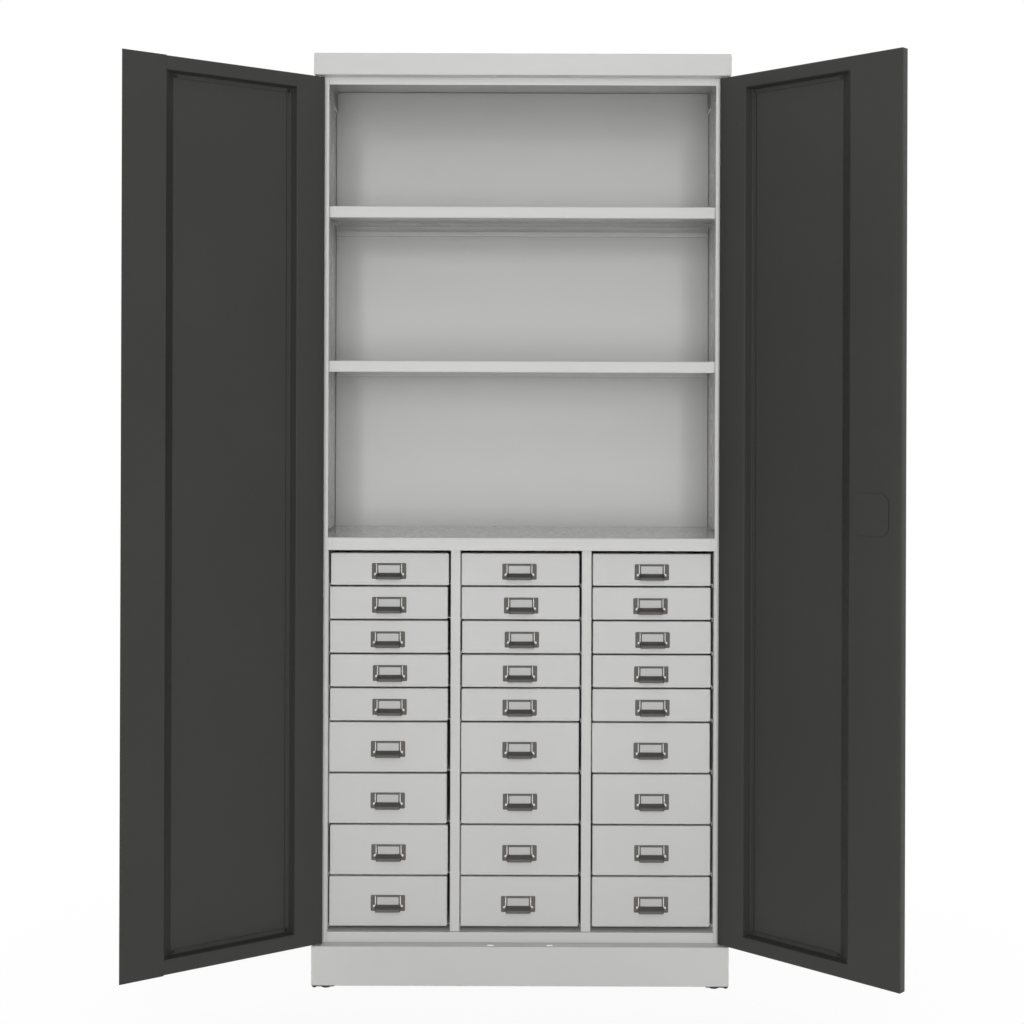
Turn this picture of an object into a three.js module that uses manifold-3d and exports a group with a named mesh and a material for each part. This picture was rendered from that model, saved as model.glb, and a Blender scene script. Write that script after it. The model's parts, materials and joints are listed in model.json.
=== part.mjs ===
// Steel storage cabinet with two hinged doors, three open compartments and
// twenty seven small drawers in three columns.
// Lengths are in millimetres. X runs right, Y runs back, Z runs up.
import * as THREE from 'three';
import { mergeVertices } from 'three/addons/utils/BufferGeometryUtils.js';
import Module from 'manifold-3d';

const wasm = await Module();
wasm.setup();

// Whole cabinet
const cabinetWidth = 804;
const cabinetDepth = 400;
const cabinetHeight = 1800;
const sheet = 1.2;
const seatGap = 0.3;
const cutOverrun = 2;

// Corner points are rounded to this many steps in each millimetre, so that faces
// meant to lie in one plane do
const gridSteps = 1024;

// Levelling feet
const footHeight = 5;
const footRadius = 10;
const footStemRadius = 4;
const footStemLength = 16;
const footSideInset = 28;
const footFrontInset = 13;
const footHoleClearance = 0.4;
const footSides = 20;
const padThickness = 1.2;
const padEdgeInset = 1;
const padWidth = 44;
const padDepth = 26;
const pegInset = 6;
const pegRadius = 4;
const pegHeight = 1;

// Plinth
const plinthHeight = 76;
const plinthLedgeDepth = 40;
const plinthTopFlange = 30;
const plinthBottomFlange = 45;

// Body shell: the flanges that frame the front lie behind the closed doors
const flangeSetback = 26;
const flangeWidth = 27;
const rearFlangeWidth = 22;
const backSetback = 17;
const backNotchWidth = 4;
const backNotchHeight = 43;

// Cap
const capHeight = 42;
const headerDrop = 14;

// Floor panel
const floorLipHeight = 20;

// Drawer unit
const deepRows = 4;
const shallowRows = 5;
const deepPitch = 100;
const shallowPitch = 66;
const rowGap = 3;
const floorToDrawers = 7;
const drawersToUnitLip = 6.5;
const unitLipHeight = 24.5;
const unitLipLap = 11;
const drawerWidth = 230;
const dividerWidth = 19;
const drawerSideGap = 2.75;
const postSetback = 31;
const postSideGap = 4.5;
const unitRearGap = 10;
const runnerReach = 9;
const runnerFrontGap = 2;
const runnerRearMargin = 6;

// One drawer
const drawerFrontSetback = 39;
const frontReturn = 11;
const trayDepth = 330;
const trayInset = 1;
const trayLift = 3;
const trayTopDrop = 8;

// Label holder pull on each drawer
const pullWidth = 67;
const pullHeight = 31;
const pullPlate = 1.5;
const pullDrop = 3.7;
const windowWidth = 42;
const windowHeight = 14;
const windowDrop = 4.6;
const ribWidth = 2.6;
const ribHeight = 1.6;
const ribOffset = 26;
const cupWidth = 54;
const cupReach = 13;
const cupHeight = 12.4;
const cupWall = 1.2;
const cupSteps = 5;

// Shelves
const lowerCompartment = 343.4;
const middleCompartment = 301;
const shelfSideGap = 0.8;
const shelfFrontSetback = 40;
const shelfRearGap = 2;
const shelfLip = 22.5;
const shelfReturn = 14;
const shelfHem = 9.5;

// Slotted uprights inside the side panels, with the clips that carry the shelves
const uprightStandOff = 4;
const uprightWidth = 70;
const rearUprightFront = 245;
const frontUprightFront = 60;
const uprightFootGap = 4;
const uprightHeadGap = 1;
const slotPitch = 50.7;
const slotHeight = 18;
const slotWidth = 10;
const slotEndMargin = 36;
const clipReach = 14;
const clipWidth = 16;
const clipThickness = 3;

// Doors
const doorEndGap = 3;
const doorMeetingGap = 3;
const doorSideInset = 1;
const doorFrontInset = 2;
const doorThickness = 20;
const leftOpenAngle = 144.6;
const rightOpenAngle = 136.5;
const pivotFromEdge = 8;
const pivotFromFace = 9;
const hingeReturn = 20;
const freeReturn = 23.7;
const hingeStileWidth = 60;
const hingeStileSlope = 5.5;
const leftFreeStileWidth = 72.5;
const leftFreeStileSlope = 21;
const rightFreeStileWidth = 106;
const rightFreeStileSlope = 26;
const meetingLap = 12;
const stileFoot = 8;
const topRailHeight = 24;
const bottomRailHeight = 26;
const railSlope = 2.5;
const railDrop = 1;

// Hinge pin rods, one up each hinge stile
const pinRadius = 3.5;
const pinClearance = 0.6;
const pinSides = 16;

// Lock: cover plate inside, handle outside, two rods in the free stile
const plateWidth = 74;
const plateHeight = 76;
const plateChamfer = 11.5;
const plateThickness = 1.5;
const plateCentreHeight = 927;
const plateFromFreeEdge = 61.5;
const lockFromFreeEdge = 55.5;
const strikeFromCentre = 57;
const strikeLength = 14;
const strikeWidth = 9;
const rodWidth = 10;
const rodThickness = 4;
const rodClearance = 0.4;
const rodEndInset = 2;
const rodFromSpindle = 25;
const spindleRadius = 5;
const spindleClearance = 0.5;
const spindleEndGap = 2.5;
const roseRadius = 22;
const roseThickness = 6;
const neckRadius = 8;
const neckLength = 20;
const leverLength = 105;
const leverWidth = 20;
const leverThickness = 10;
const handleSides = 24;

// Places that follow from the sizes
const halfWidth = cabinetWidth / 2;
const shellInner = halfWidth - sheet;
const panelHalf = shellInner - seatGap;
const openingHalf = halfWidth - flangeWidth;
const flangeBack = flangeSetback + sheet;
const backFront = cabinetDepth - backSetback - sheet;
const innerBack = backFront - seatGap;
const plinthBottom = footHeight;
const plinthTop = plinthBottom + plinthHeight;
const capBottom = cabinetHeight - capHeight;
const shellBottom = plinthTop + seatGap;
const shellTop = capBottom - seatGap;
const floorTop = plinthTop + floorLipHeight;
const drawersBottom = floorTop + floorToDrawers;
const drawersHeight = deepRows * deepPitch + shallowRows * shallowPitch - rowGap;
const unitLipBottom = drawersBottom + drawersHeight + drawersToUnitLip;
const unitTop = unitLipBottom + unitLipHeight;
const lowerShelfTop = unitTop + lowerCompartment;
const upperShelfTop = lowerShelfTop + middleCompartment;
const columnPitch = drawerWidth + dividerWidth + 2 * drawerSideGap;
const postInner = columnPitch + drawerWidth / 2 + postSideGap;
const unitBack = innerBack - unitRearGap;
const uprightFace = shellInner - uprightStandOff;
const shelfHalf = uprightFace - shelfSideGap;
const shelfBack = innerBack - shelfRearGap;
const doorWidth = halfWidth - doorSideInset - doorMeetingGap / 2;
const doorBottom = plinthTop + doorEndGap;
const doorTop = capBottom - doorEndGap;
const pivotX = halfWidth - doorSideInset - pivotFromEdge;
const pivotY = doorFrontInset + pivotFromFace;
const strikeDepth = pivotY;

// Solids

function solidOf(geometry) {
  const bare = geometry.clone();
  bare.deleteAttribute('normal');
  bare.deleteAttribute('uv');
  const corners = bare.attributes.position.array;
  corners.forEach((value, i) => {
    corners[i] = Math.round(value * gridSteps) / gridSteps;
  });
  const merged = mergeVertices(bare);
  return new wasm.Manifold(new wasm.Mesh({
    numProp: 3,
    vertProperties: new Float32Array(merged.attributes.position.array),
    triVerts: new Uint32Array(merged.index.array),
  }));
}

function geometryOf(solid) {
  const mesh = solid.getMesh();
  const geometry = new THREE.BufferGeometry();
  geometry.setAttribute('position', new THREE.BufferAttribute(mesh.vertProperties, 3));
  geometry.setIndex(new THREE.BufferAttribute(mesh.triVerts, 1));
  geometry.computeVertexNormals();
  return geometry;
}

function joined(solids) {
  return solids.reduce((sum, solid) => sum.add(solid));
}

function without(solid, tools) {
  return tools.reduce((rest, tool) => rest.subtract(tool), solid);
}

function block(x0, x1, y0, y1, z0, z1) {
  const geometry = new THREE.BoxGeometry(Math.abs(x1 - x0), Math.abs(y1 - y0), Math.abs(z1 - z0));
  geometry.translate((x0 + x1) / 2, (y0 + y1) / 2, (z0 + z1) / 2);
  return solidOf(geometry);
}

function extruded(points, length) {
  const shape = new THREE.Shape(points.map(([a, b]) => new THREE.Vector2(a, b)));
  return new THREE.ExtrudeGeometry(shape, { depth: length, bevelEnabled: false });
}

// Outline in X and Y, extruded up from z0 to z1
function prismUp(points, z0, z1) {
  return solidOf(extruded(points, z1 - z0).translate(0, 0, z0));
}

// Outline in Y and Z, extruded along X from x0 to x1
function prismAcross(points, x0, x1) {
  const geometry = extruded(points, x1 - x0);
  const turn = new THREE.Matrix4().makeBasis(
    new THREE.Vector3(0, 1, 0),
    new THREE.Vector3(0, 0, 1),
    new THREE.Vector3(1, 0, 0),
  );
  geometry.applyMatrix4(turn);
  return solidOf(geometry.translate(x0, 0, 0));
}

// Outline in X and Z, extruded along Y from y0 to y1
function prismBack(points, y0, y1) {
  const flipped = points.map(([a, b]) => [-a, b]);
  const geometry = extruded(flipped, y1 - y0);
  const turn = new THREE.Matrix4().makeBasis(
    new THREE.Vector3(-1, 0, 0),
    new THREE.Vector3(0, 0, 1),
    new THREE.Vector3(0, 1, 0),
  );
  geometry.applyMatrix4(turn);
  return solidOf(geometry.translate(0, y0, 0));
}

function uprightCylinder(radius, sides, x, y, z0, z1) {
  const geometry = new THREE.CylinderGeometry(radius, radius, z1 - z0, sides);
  geometry.rotateX(Math.PI / 2);
  return solidOf(geometry.translate(x, y, (z0 + z1) / 2));
}

function deepCylinder(radius, sides, x, z, y0, y1) {
  const geometry = new THREE.CylinderGeometry(radius, radius, y1 - y0, sides);
  return solidOf(geometry.translate(x, (y0 + y1) / 2, z));
}

// A copy seen in a mirror that stands across X, with its faces still pointing out
function mirroredX(geometry) {
  const copy = geometry.clone();
  copy.applyMatrix4(new THREE.Matrix4().makeScale(-1, 1, 1));
  const order = copy.index.array;
  for (let i = 0; i < order.length; i += 3) {
    const second = order[i + 1];
    order[i + 1] = order[i + 2];
    order[i + 2] = second;
  }
  copy.computeVertexNormals();
  return copy;
}

// Materials

function paint(colour, roughness, metalness) {
  return new THREE.MeshStandardMaterial({ color: colour, roughness, metalness });
}

const bodyPaint = paint(0xc6c6c3, 0.55, 0.1);
const doorPaint = paint(0x404040, 0.5, 0.1);
const drawerPaint = paint(0xc9c9c6, 0.5, 0.1);
const footPlastic = paint(0x151515, 0.6, 0);
const zincSteel = paint(0xa8a8a4, 0.3, 0.9);
const handleBlack = paint(0x1c1c1c, 0.4, 0.2);

const cabinet = new THREE.Group();
const meshes = [];

function place(parent, name, geometry, material, x = 0, y = 0, z = 0) {
  const mesh = new THREE.Mesh(geometry, material);
  mesh.name = name;
  mesh.position.set(x, y, z);
  parent.add(mesh);
  meshes.push(mesh);
  return mesh;
}

// Shell

function strikeSlots(z0, z1) {
  return [-strikeFromCentre, strikeFromCentre].map((x) => block(
    x - strikeLength / 2, x + strikeLength / 2,
    strikeDepth - strikeWidth / 2, strikeDepth + strikeWidth / 2,
    z0 - cutOverrun, z1 + cutOverrun,
  ));
}

function footPlaces() {
  const x = halfWidth - footSideInset;
  const back = cabinetDepth - footFrontInset;
  return [[-x, footFrontInset], [x, footFrontInset], [-x, back], [x, back]];
}

function plinthSolid() {
  const shell = block(-halfWidth, halfWidth, 0, cabinetDepth, plinthBottom, plinthTop);
  const cavity = block(-shellInner, shellInner, sheet, cabinetDepth - sheet,
    plinthBottom + sheet, plinthTop - sheet);
  const topMouth = block(-halfWidth + plinthTopFlange, halfWidth - plinthTopFlange,
    plinthLedgeDepth, cabinetDepth - plinthTopFlange,
    plinthTop - sheet - cutOverrun, plinthTop + cutOverrun);
  const bottomMouth = block(-halfWidth + plinthBottomFlange, halfWidth - plinthBottomFlange,
    plinthBottomFlange, cabinetDepth - plinthBottomFlange,
    plinthBottom - cutOverrun, plinthBottom + sheet + cutOverrun);
  const stemHoles = footPlaces().map(([x, y]) => uprightCylinder(
    footStemRadius + footHoleClearance, footSides, x, y,
    plinthBottom - cutOverrun, plinthBottom + sheet + cutOverrun));
  const slots = strikeSlots(plinthTop - sheet, plinthTop);
  return without(shell, [cavity, topMouth, bottomMouth, ...stemHoles, ...slots]);
}

// Left hand front foot around its stem: a disc on the floor under a thin pad that
// reaches the plinth's corner, with a short peg there
function footGeometry() {
  const padTop = footHeight - seatGap;
  const padBottom = padTop - padThickness;
  const padLeft = padEdgeInset - footSideInset;
  const padFront = padEdgeInset - footFrontInset;
  const disc = uprightCylinder(footRadius, footSides, 0, 0, 0, padTop);
  const stem = uprightCylinder(footStemRadius, footSides, 0, 0,
    padBottom, footHeight + footStemLength);
  const pad = block(padLeft, padLeft + padWidth, padFront, padFront + padDepth, padBottom, padTop);
  const peg = uprightCylinder(pegRadius, footSides, pegInset - footSideInset,
    pegInset - footFrontInset, pegHeight, padTop - padThickness / 2);
  return geometryOf(joined([disc, stem, pad, peg]));
}

function capSolid() {
  const shell = block(-halfWidth, halfWidth, 0, cabinetDepth, capBottom, cabinetHeight);
  const cavity = block(-shellInner, shellInner, sheet, cabinetDepth - sheet,
    capBottom + sheet, cabinetHeight - sheet);
  const mouth = block(-shellInner, shellInner, flangeBack, cabinetDepth - sheet,
    capBottom - cutOverrun, capBottom + sheet + cutOverrun);
  const header = block(-openingHalf + seatGap, openingHalf - seatGap, flangeSetback, flangeBack,
    capBottom - headerDrop, capBottom + sheet);
  const opened = without(shell, [cavity, mouth, ...strikeSlots(capBottom, capBottom + sheet)]);
  return joined([opened, header]);
}

// A sheet behind the front flanges whose tongue reaches between them and ends in a lip
function floorSolid() {
  const whole = block(-panelHalf, panelHalf, flangeSetback, innerBack, shellBottom, floorTop);
  const under = block(-halfWidth, halfWidth, flangeBack, innerBack - sheet,
    shellBottom - cutOverrun, floorTop - sheet);
  const notches = [-1, 1].map((side) => block(
    side * (openingHalf - seatGap), side * halfWidth,
    flangeSetback - cutOverrun, flangeBack + seatGap,
    shellBottom - cutOverrun, floorTop + cutOverrun));
  return without(whole, [under, ...notches]);
}

// Right hand side panel: web, front and rear flanges, uprights with slots and clips
function sidePanelSolid() {
  const section = [
    [openingHalf, flangeSetback], [halfWidth, flangeSetback], [halfWidth, cabinetDepth],
    [halfWidth - rearFlangeWidth, cabinetDepth],
    [halfWidth - rearFlangeWidth, cabinetDepth - sheet], [shellInner, cabinetDepth - sheet],
    [shellInner, flangeBack], [openingHalf, flangeBack],
  ];
  const shell = prismUp(section, shellBottom, shellTop);
  return joined([shell, ...[frontUprightFront, rearUprightFront].map(uprightSolid)]);
}

function slotCentres() {
  const first = unitTop + slotEndMargin;
  const last = shellTop - slotEndMargin;
  const count = Math.max(Math.floor((last - first) / slotPitch) + 1, 1);
  return Array.from({ length: count }, (_, i) => first + i * slotPitch);
}

function uprightSolid(y0) {
  const y1 = y0 + uprightWidth;
  const root = shellInner + sheet / 2;
  const section = [
    [uprightFace, y0], [root, y0], [root, y0 + sheet], [uprightFace + sheet, y0 + sheet],
    [uprightFace + sheet, y1 - sheet], [root, y1 - sheet], [root, y1], [uprightFace, y1],
  ];
  const hat = prismUp(section, unitTop + uprightFootGap, shellTop - uprightHeadGap);
  const middle = (y0 + y1) / 2;
  const slots = slotCentres().map((z) => block(
    uprightFace - cutOverrun, uprightFace + sheet + seatGap,
    middle - slotWidth / 2, middle + slotWidth / 2,
    z - slotHeight / 2, z + slotHeight / 2,
  ));
  const clips = [lowerShelfTop, upperShelfTop].map((top) => {
    const seat = top - sheet - seatGap;
    return block(uprightFace - clipReach, uprightFace + sheet / 2,
      middle - clipWidth / 2, middle + clipWidth / 2, seat - clipThickness, seat);
  });
  return joined([without(hat, slots), ...clips]);
}

function backSolid() {
  const top = cabinetHeight - sheet - seatGap;
  const panel = block(-panelHalf, panelHalf, backFront, backFront + sheet, shellBottom, top);
  const notches = [-1, 1].map((side) => block(
    side * (panelHalf - backNotchWidth), side * halfWidth,
    backFront - cutOverrun, backFront + sheet + cutOverrun,
    top - backNotchHeight, top + cutOverrun));
  return without(panel, notches);
}

// Both long edges are folded down, inwards and up again
function shelfSolid(top) {
  const bottom = top - shelfLip;
  const hemTop = bottom + shelfHem;
  const front = shelfFrontSetback;
  const back = shelfBack;
  const outline = [
    [front, top], [front, bottom], [front + shelfReturn, bottom], [front + shelfReturn, hemTop],
    [front + shelfReturn - sheet, hemTop], [front + shelfReturn - sheet, bottom + sheet],
    [front + sheet, bottom + sheet], [front + sheet, top - sheet],
    [back - sheet, top - sheet], [back - sheet, bottom + sheet],
    [back - shelfReturn + sheet, bottom + sheet], [back - shelfReturn + sheet, hemTop],
    [back - shelfReturn, hemTop], [back - shelfReturn, bottom], [back, bottom], [back, top],
  ];
  return prismAcross(outline, -shelfHalf, shelfHalf);
}

// Drawer unit

// The unit's top reaches forward between the front flanges, and its lip laps over them
function unitTopSolid() {
  const lipBack = flangeSetback - seatGap;
  const lipFront = lipBack - sheet;
  const panelFront = flangeBack + seatGap;
  const tongueHalf = openingHalf - seatGap;
  const lipHalf = openingHalf + unitLipLap;
  const under = unitTop - sheet;
  const panel = block(-panelHalf, panelHalf, panelFront, innerBack, under, unitTop);
  const tongue = block(-tongueHalf, tongueHalf, lipFront, panelFront + frontReturn, under, unitTop);
  const lip = block(-tongueHalf, tongueHalf, lipFront, lipBack, unitLipBottom, unitTop);
  const laps = block(-lipHalf, lipHalf, lipFront, lipBack, unitLipBottom, under);
  return joined([panel, tongue, lip, laps]);
}

function rows() {
  const list = [];
  for (let i = 0; i < deepRows; i += 1) {
    list.push({ bottom: drawersBottom + i * deepPitch, height: deepPitch - rowGap });
  }
  const start = drawersBottom + deepRows * deepPitch;
  for (let i = 0; i < shallowRows; i += 1) {
    list.push({ bottom: start + i * shallowPitch, height: shallowPitch - rowGap });
  }
  return list;
}

function runners(x0, x1) {
  const front = drawerFrontSetback + frontReturn + runnerFrontGap;
  return rows().map((row) => {
    const top = row.bottom + trayLift - seatGap;
    return block(x0, x1, front, unitBack - runnerRearMargin, top - sheet, top);
  });
}

function dividerSolid() {
  const half = dividerWidth / 2;
  const z0 = floorTop + seatGap;
  const z1 = unitTop - sheet - seatGap;
  const section = [
    [-half, postSetback], [half, postSetback], [half, unitBack], [half - sheet, unitBack],
    [half - sheet, postSetback + sheet], [-half + sheet, postSetback + sheet],
    [-half + sheet, unitBack], [-half, unitBack],
  ];
  const left = runners(-half - runnerReach, -half + sheet / 2);
  const right = runners(half - sheet / 2, half + runnerReach);
  return joined([prismUp(section, z0, z1), ...left, ...right]);
}

// Right hand runner panel, between the last column and the side panel
function runnerPanelSolid() {
  const z0 = floorTop + seatGap;
  const z1 = unitTop - sheet - seatGap;
  const section = [
    [postInner, postSetback], [panelHalf, postSetback], [panelHalf, postSetback + sheet],
    [postInner + sheet, postSetback + sheet], [postInner + sheet, unitBack - sheet],
    [panelHalf, unitBack - sheet], [panelHalf, unitBack], [postInner, unitBack],
  ];
  const tip = postInner + drawerSideGap - postSideGap - runnerReach;
  return joined([prismUp(section, z0, z1), ...runners(tip, postInner + sheet / 2)]);
}

// Drawers

// Hooked lip under the label window, as an outline in Y and Z that bends a quarter turn
function cupOutline(top) {
  const outer = [];
  const inner = [];
  for (let i = 0; i <= cupSteps; i += 1) {
    const angle = (Math.PI / 2) * (i / cupSteps);
    outer.push([-cupReach * Math.sin(angle), top - cupHeight * (1 - Math.cos(angle))]);
    inner.push([
      -(cupReach - cupWall) * Math.sin(angle),
      top - cupWall - (cupHeight - cupWall) * (1 - Math.cos(angle)),
    ]);
  }
  return [...outer, ...inner.reverse()];
}

function pullSolid(centre) {
  const top = centre + pullHeight / 2;
  const bottom = centre - pullHeight / 2;
  const plate = block(-pullWidth / 2, pullWidth / 2, -pullPlate, sheet / 2, bottom, top);
  const windowTop = top - windowDrop;
  const opening = block(-windowWidth / 2, windowWidth / 2,
    -pullPlate - cutOverrun, sheet / 2 + cutOverrun, windowTop - windowHeight, windowTop);
  const ribs = [-ribOffset, ribOffset].map((x) => block(
    x - ribWidth / 2, x + ribWidth / 2, -pullPlate - ribHeight, -pullPlate / 2,
    bottom + cupHeight, top));
  const cup = prismAcross(cupOutline(bottom + cupHeight), -cupWidth / 2, cupWidth / 2);
  return joined([plate.subtract(opening), ...ribs, cup]);
}

function drawerSolid(height) {
  const half = drawerWidth / 2;
  const trayHalf = half - trayInset;
  const inside = half - sheet;
  const front = block(-half, half, 0, frontReturn, 0, height).subtract(
    block(-inside, inside, sheet, frontReturn + cutOverrun, sheet, height - sheet));
  const trayTop = height - trayTopDrop;
  const trayInside = trayHalf - sheet;
  const tray = block(-trayHalf, trayHalf, sheet / 2, trayDepth, trayLift, trayTop).subtract(
    block(-trayInside, trayInside, sheet, trayDepth - sheet,
      trayLift + sheet, trayTop + cutOverrun));
  return joined([front, tray, pullSolid(height / 2 - pullDrop)]);
}

// Doors

// A door is drawn closed, hinge edge at -pivotFromEdge and free edge towards +X,
// outer face at -pivotFromFace, so that its pivot is the origin of X and Y.
const doorLeft = -pivotFromEdge;
const doorRight = doorLeft + doorWidth;
const doorOuter = -pivotFromFace;
const doorInner = doorOuter + doorThickness;
const footFace = doorOuter + sheet + seatGap;
const lockX = doorRight - lockFromFreeEdge;
const lockMiddle = 0;
const stileBottom = doorBottom + sheet + seatGap;
const stileTop = doorTop - sheet - seatGap;

function rodHole(z0, z1) {
  return block(lockX - rodWidth / 2 - rodClearance, lockX + rodWidth / 2 + rodClearance,
    lockMiddle - rodThickness / 2 - rodClearance, lockMiddle + rodThickness / 2 + rodClearance,
    z0 - cutOverrun, z1 + cutOverrun);
}

function doorSkinSolid(hasLock) {
  const shell = block(doorLeft, doorRight, doorOuter, doorInner, doorBottom, doorTop);
  const cuts = [
    block(doorLeft + sheet, doorRight - sheet, doorOuter + sheet, doorInner - sheet,
      doorBottom + sheet, doorTop - sheet),
    block(doorLeft + hingeReturn, doorRight - freeReturn, doorInner - sheet - cutOverrun,
      doorInner + cutOverrun, doorBottom + sheet, doorTop - sheet),
    uprightCylinder(pinRadius + pinClearance, pinSides, 0, 0,
      doorBottom - cutOverrun, doorBottom + sheet + cutOverrun),
    uprightCylinder(pinRadius + pinClearance, pinSides, 0, 0,
      doorTop - sheet - cutOverrun, doorTop + cutOverrun),
  ];
  if (hasLock) {
    cuts.push(rodHole(doorBottom, doorBottom + sheet));
    cuts.push(rodHole(doorTop - sheet, doorTop));
    cuts.push(deepCylinder(spindleRadius + spindleClearance, handleSides, lockX,
      plateCentreHeight, doorOuter - cutOverrun, doorOuter + sheet + cutOverrun));
  }
  return without(shell, cuts);
}

// Hat section of a stile: a leg, the face, a sloping web and a foot on the skin.
// start is the leg's side, facing the door edge, and way points to the door's middle.
function stileOutline(start, way, width, slope) {
  const at = (distance) => start + way * distance;
  const edge = width;
  const base = width + slope;
  const points = [
    [at(0), footFace], [at(sheet), footFace], [at(sheet), doorInner - sheet],
    [at(edge - sheet), doorInner - sheet], [at(base - sheet), footFace],
    [at(base + stileFoot), footFace], [at(base + stileFoot), footFace + sheet],
    [at(base), footFace + sheet], [at(edge), doorInner], [at(0), doorInner],
  ];
  return way > 0 ? points : points.reverse();
}

// The space that a stile takes, with its clearance, as a cut through the rails
function stileSpace(start, way, width, slope) {
  const at = (distance) => start + way * distance;
  const base = width + slope + seatGap;
  const points = [
    [at(-cutOverrun), doorOuter], [at(base + stileFoot), doorOuter],
    [at(base + stileFoot), footFace + sheet + seatGap], [at(base), footFace + sheet + seatGap],
    [at(width + seatGap), doorInner + cutOverrun], [at(-cutOverrun), doorInner + cutOverrun],
  ];
  return prismUp(way > 0 ? points : points.reverse(),
    doorBottom - cutOverrun, doorTop + cutOverrun);
}

function railOutline(start, way, height) {
  const at = (distance) => start + way * distance;
  const face = doorInner - railDrop;
  const base = height + railSlope;
  const points = [
    [footFace, at(0)], [face, at(0)], [face, at(height)], [footFace + sheet, at(base)],
    [footFace + sheet, at(base + stileFoot)], [footFace, at(base + stileFoot)],
    [footFace, at(base - sheet)], [face - sheet, at(height - sheet)],
    [face - sheet, at(sheet)], [footFace, at(sheet)],
  ];
  return way > 0 ? points : points.reverse();
}

function hingeStileNumbers() {
  const start = hingeReturn + seatGap;
  return [doorLeft + start, 1, hingeStileWidth - start, hingeStileSlope];
}

function freeStileNumbers(width, slope) {
  const start = freeReturn + seatGap;
  return [doorRight - start, -1, width - start, slope];
}

function stileSolid(numbers) {
  return prismUp(stileOutline(...numbers), stileBottom, stileTop);
}

function railSolid(start, way, height, stiles) {
  const bar = prismAcross(railOutline(start, way, height),
    doorLeft + hingeStileWidth, doorRight - hingeStileWidth);
  return without(bar, stiles.map((numbers) => stileSpace(...numbers)));
}

// Flat strip that laps behind the right door, with the seat that joins it to the stile
function meetingStripSolid() {
  const start = doorRight - leftFreeStileWidth;
  const front = doorInner + seatGap;
  const strip = block(start, doorRight + meetingLap, front, front + sheet, doorBottom, doorTop);
  const seat = block(start + sheet, doorRight - freeReturn - sheet, doorInner - sheet / 2,
    front + sheet / 2, stileBottom + sheet, stileTop - sheet);
  return joined([strip, seat]);
}

function plateSolid() {
  const a = plateWidth / 2;
  const b = plateHeight / 2;
  const c = plateChamfer;
  const x = doorRight - plateFromFreeEdge;
  const z = plateCentreHeight;
  const corners = [
    [a - c, -b], [a, -b + c], [a, b - c], [a - c, b],
    [-a + c, b], [-a, b - c], [-a, -b + c], [-a + c, -b],
  ];
  const points = corners.map(([p, q]) => [x + p, z + q]);
  return prismBack(points, doorInner + seatGap, doorInner + seatGap + plateThickness);
}

function handleSolid() {
  const faceY = doorOuter - seatGap;
  const roseFront = faceY - roseThickness;
  const neckFront = roseFront - neckLength;
  const z = plateCentreHeight;
  const rose = deepCylinder(roseRadius, handleSides, lockX, z, roseFront, faceY);
  const roseMiddle = faceY - roseThickness / 2;
  const neck = deepCylinder(neckRadius, handleSides, lockX, z, neckFront, roseMiddle);
  const spindle = deepCylinder(spindleRadius, handleSides, lockX, z, roseMiddle - sheet,
    doorInner - sheet - spindleEndGap);
  const lever = block(lockX - leverLength, lockX + leverWidth / 2,
    neckFront - leverThickness / 2, neckFront + leverThickness / 2,
    z - leverWidth / 2, z + leverWidth / 2);
  return joined([rose, neck, spindle, lever]);
}

function rodSolid(z0, z1) {
  return block(lockX - rodWidth / 2, lockX + rodWidth / 2,
    lockMiddle - rodThickness / 2, lockMiddle + rodThickness / 2, z0, z1);
}

function addDoor(side, angle, stileWidth, stileSlope, hasLock) {
  const name = side < 0 ? 'left' : 'right';
  const turned = new THREE.Group();
  turned.position.set(side * pivotX, pivotY, 0);
  turned.rotation.z = side * THREE.MathUtils.degToRad(angle);
  cabinet.add(turned);
  const put = (node, solid, material) => {
    const geometry = geometryOf(solid);
    place(turned, node, side < 0 ? geometry : mirroredX(geometry), material);
  };
  const hinge = hingeStileNumbers();
  const free = freeStileNumbers(stileWidth, stileSlope);
  put(`${name}_door_skin`, doorSkinSolid(hasLock), doorPaint);
  put(`${name}_door_hinge_stile`, stileSolid(hinge), doorPaint);
  put(`${name}_door_free_stile`,
    hasLock ? stileSolid(free) : joined([stileSolid(free), meetingStripSolid()]), doorPaint);
  put(`${name}_door_top_rail`, railSolid(stileTop, -1, topRailHeight, [hinge, free]), doorPaint);
  put(`${name}_door_bottom_rail`, railSolid(stileBottom, 1, bottomRailHeight, [hinge, free]),
    doorPaint);
  if (hasLock) {
    put('lock_cover_plate', plateSolid(), doorPaint);
    put('door_handle', handleSolid(), handleBlack);
    put('upper_lock_rod', rodSolid(plateCentreHeight + rodFromSpindle, doorTop - rodEndInset),
      zincSteel);
    put('lower_lock_rod', rodSolid(doorBottom + rodEndInset, plateCentreHeight - rodFromSpindle),
      zincSteel);
  }
}

// Assembly

function addShell() {
  place(cabinet, 'plinth', geometryOf(plinthSolid()), bodyPaint);
  place(cabinet, 'top_cap', geometryOf(capSolid()), bodyPaint);
  place(cabinet, 'floor_panel', geometryOf(floorSolid()), bodyPaint);
  place(cabinet, 'back_panel', geometryOf(backSolid()), bodyPaint);
  const side = geometryOf(sidePanelSolid());
  place(cabinet, 'left_side_panel', mirroredX(side), bodyPaint);
  place(cabinet, 'right_side_panel', side, bodyPaint);
  place(cabinet, 'lower_shelf', geometryOf(shelfSolid(lowerShelfTop)), bodyPaint);
  place(cabinet, 'upper_shelf', geometryOf(shelfSolid(upperShelfTop)), bodyPaint);
}

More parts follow.
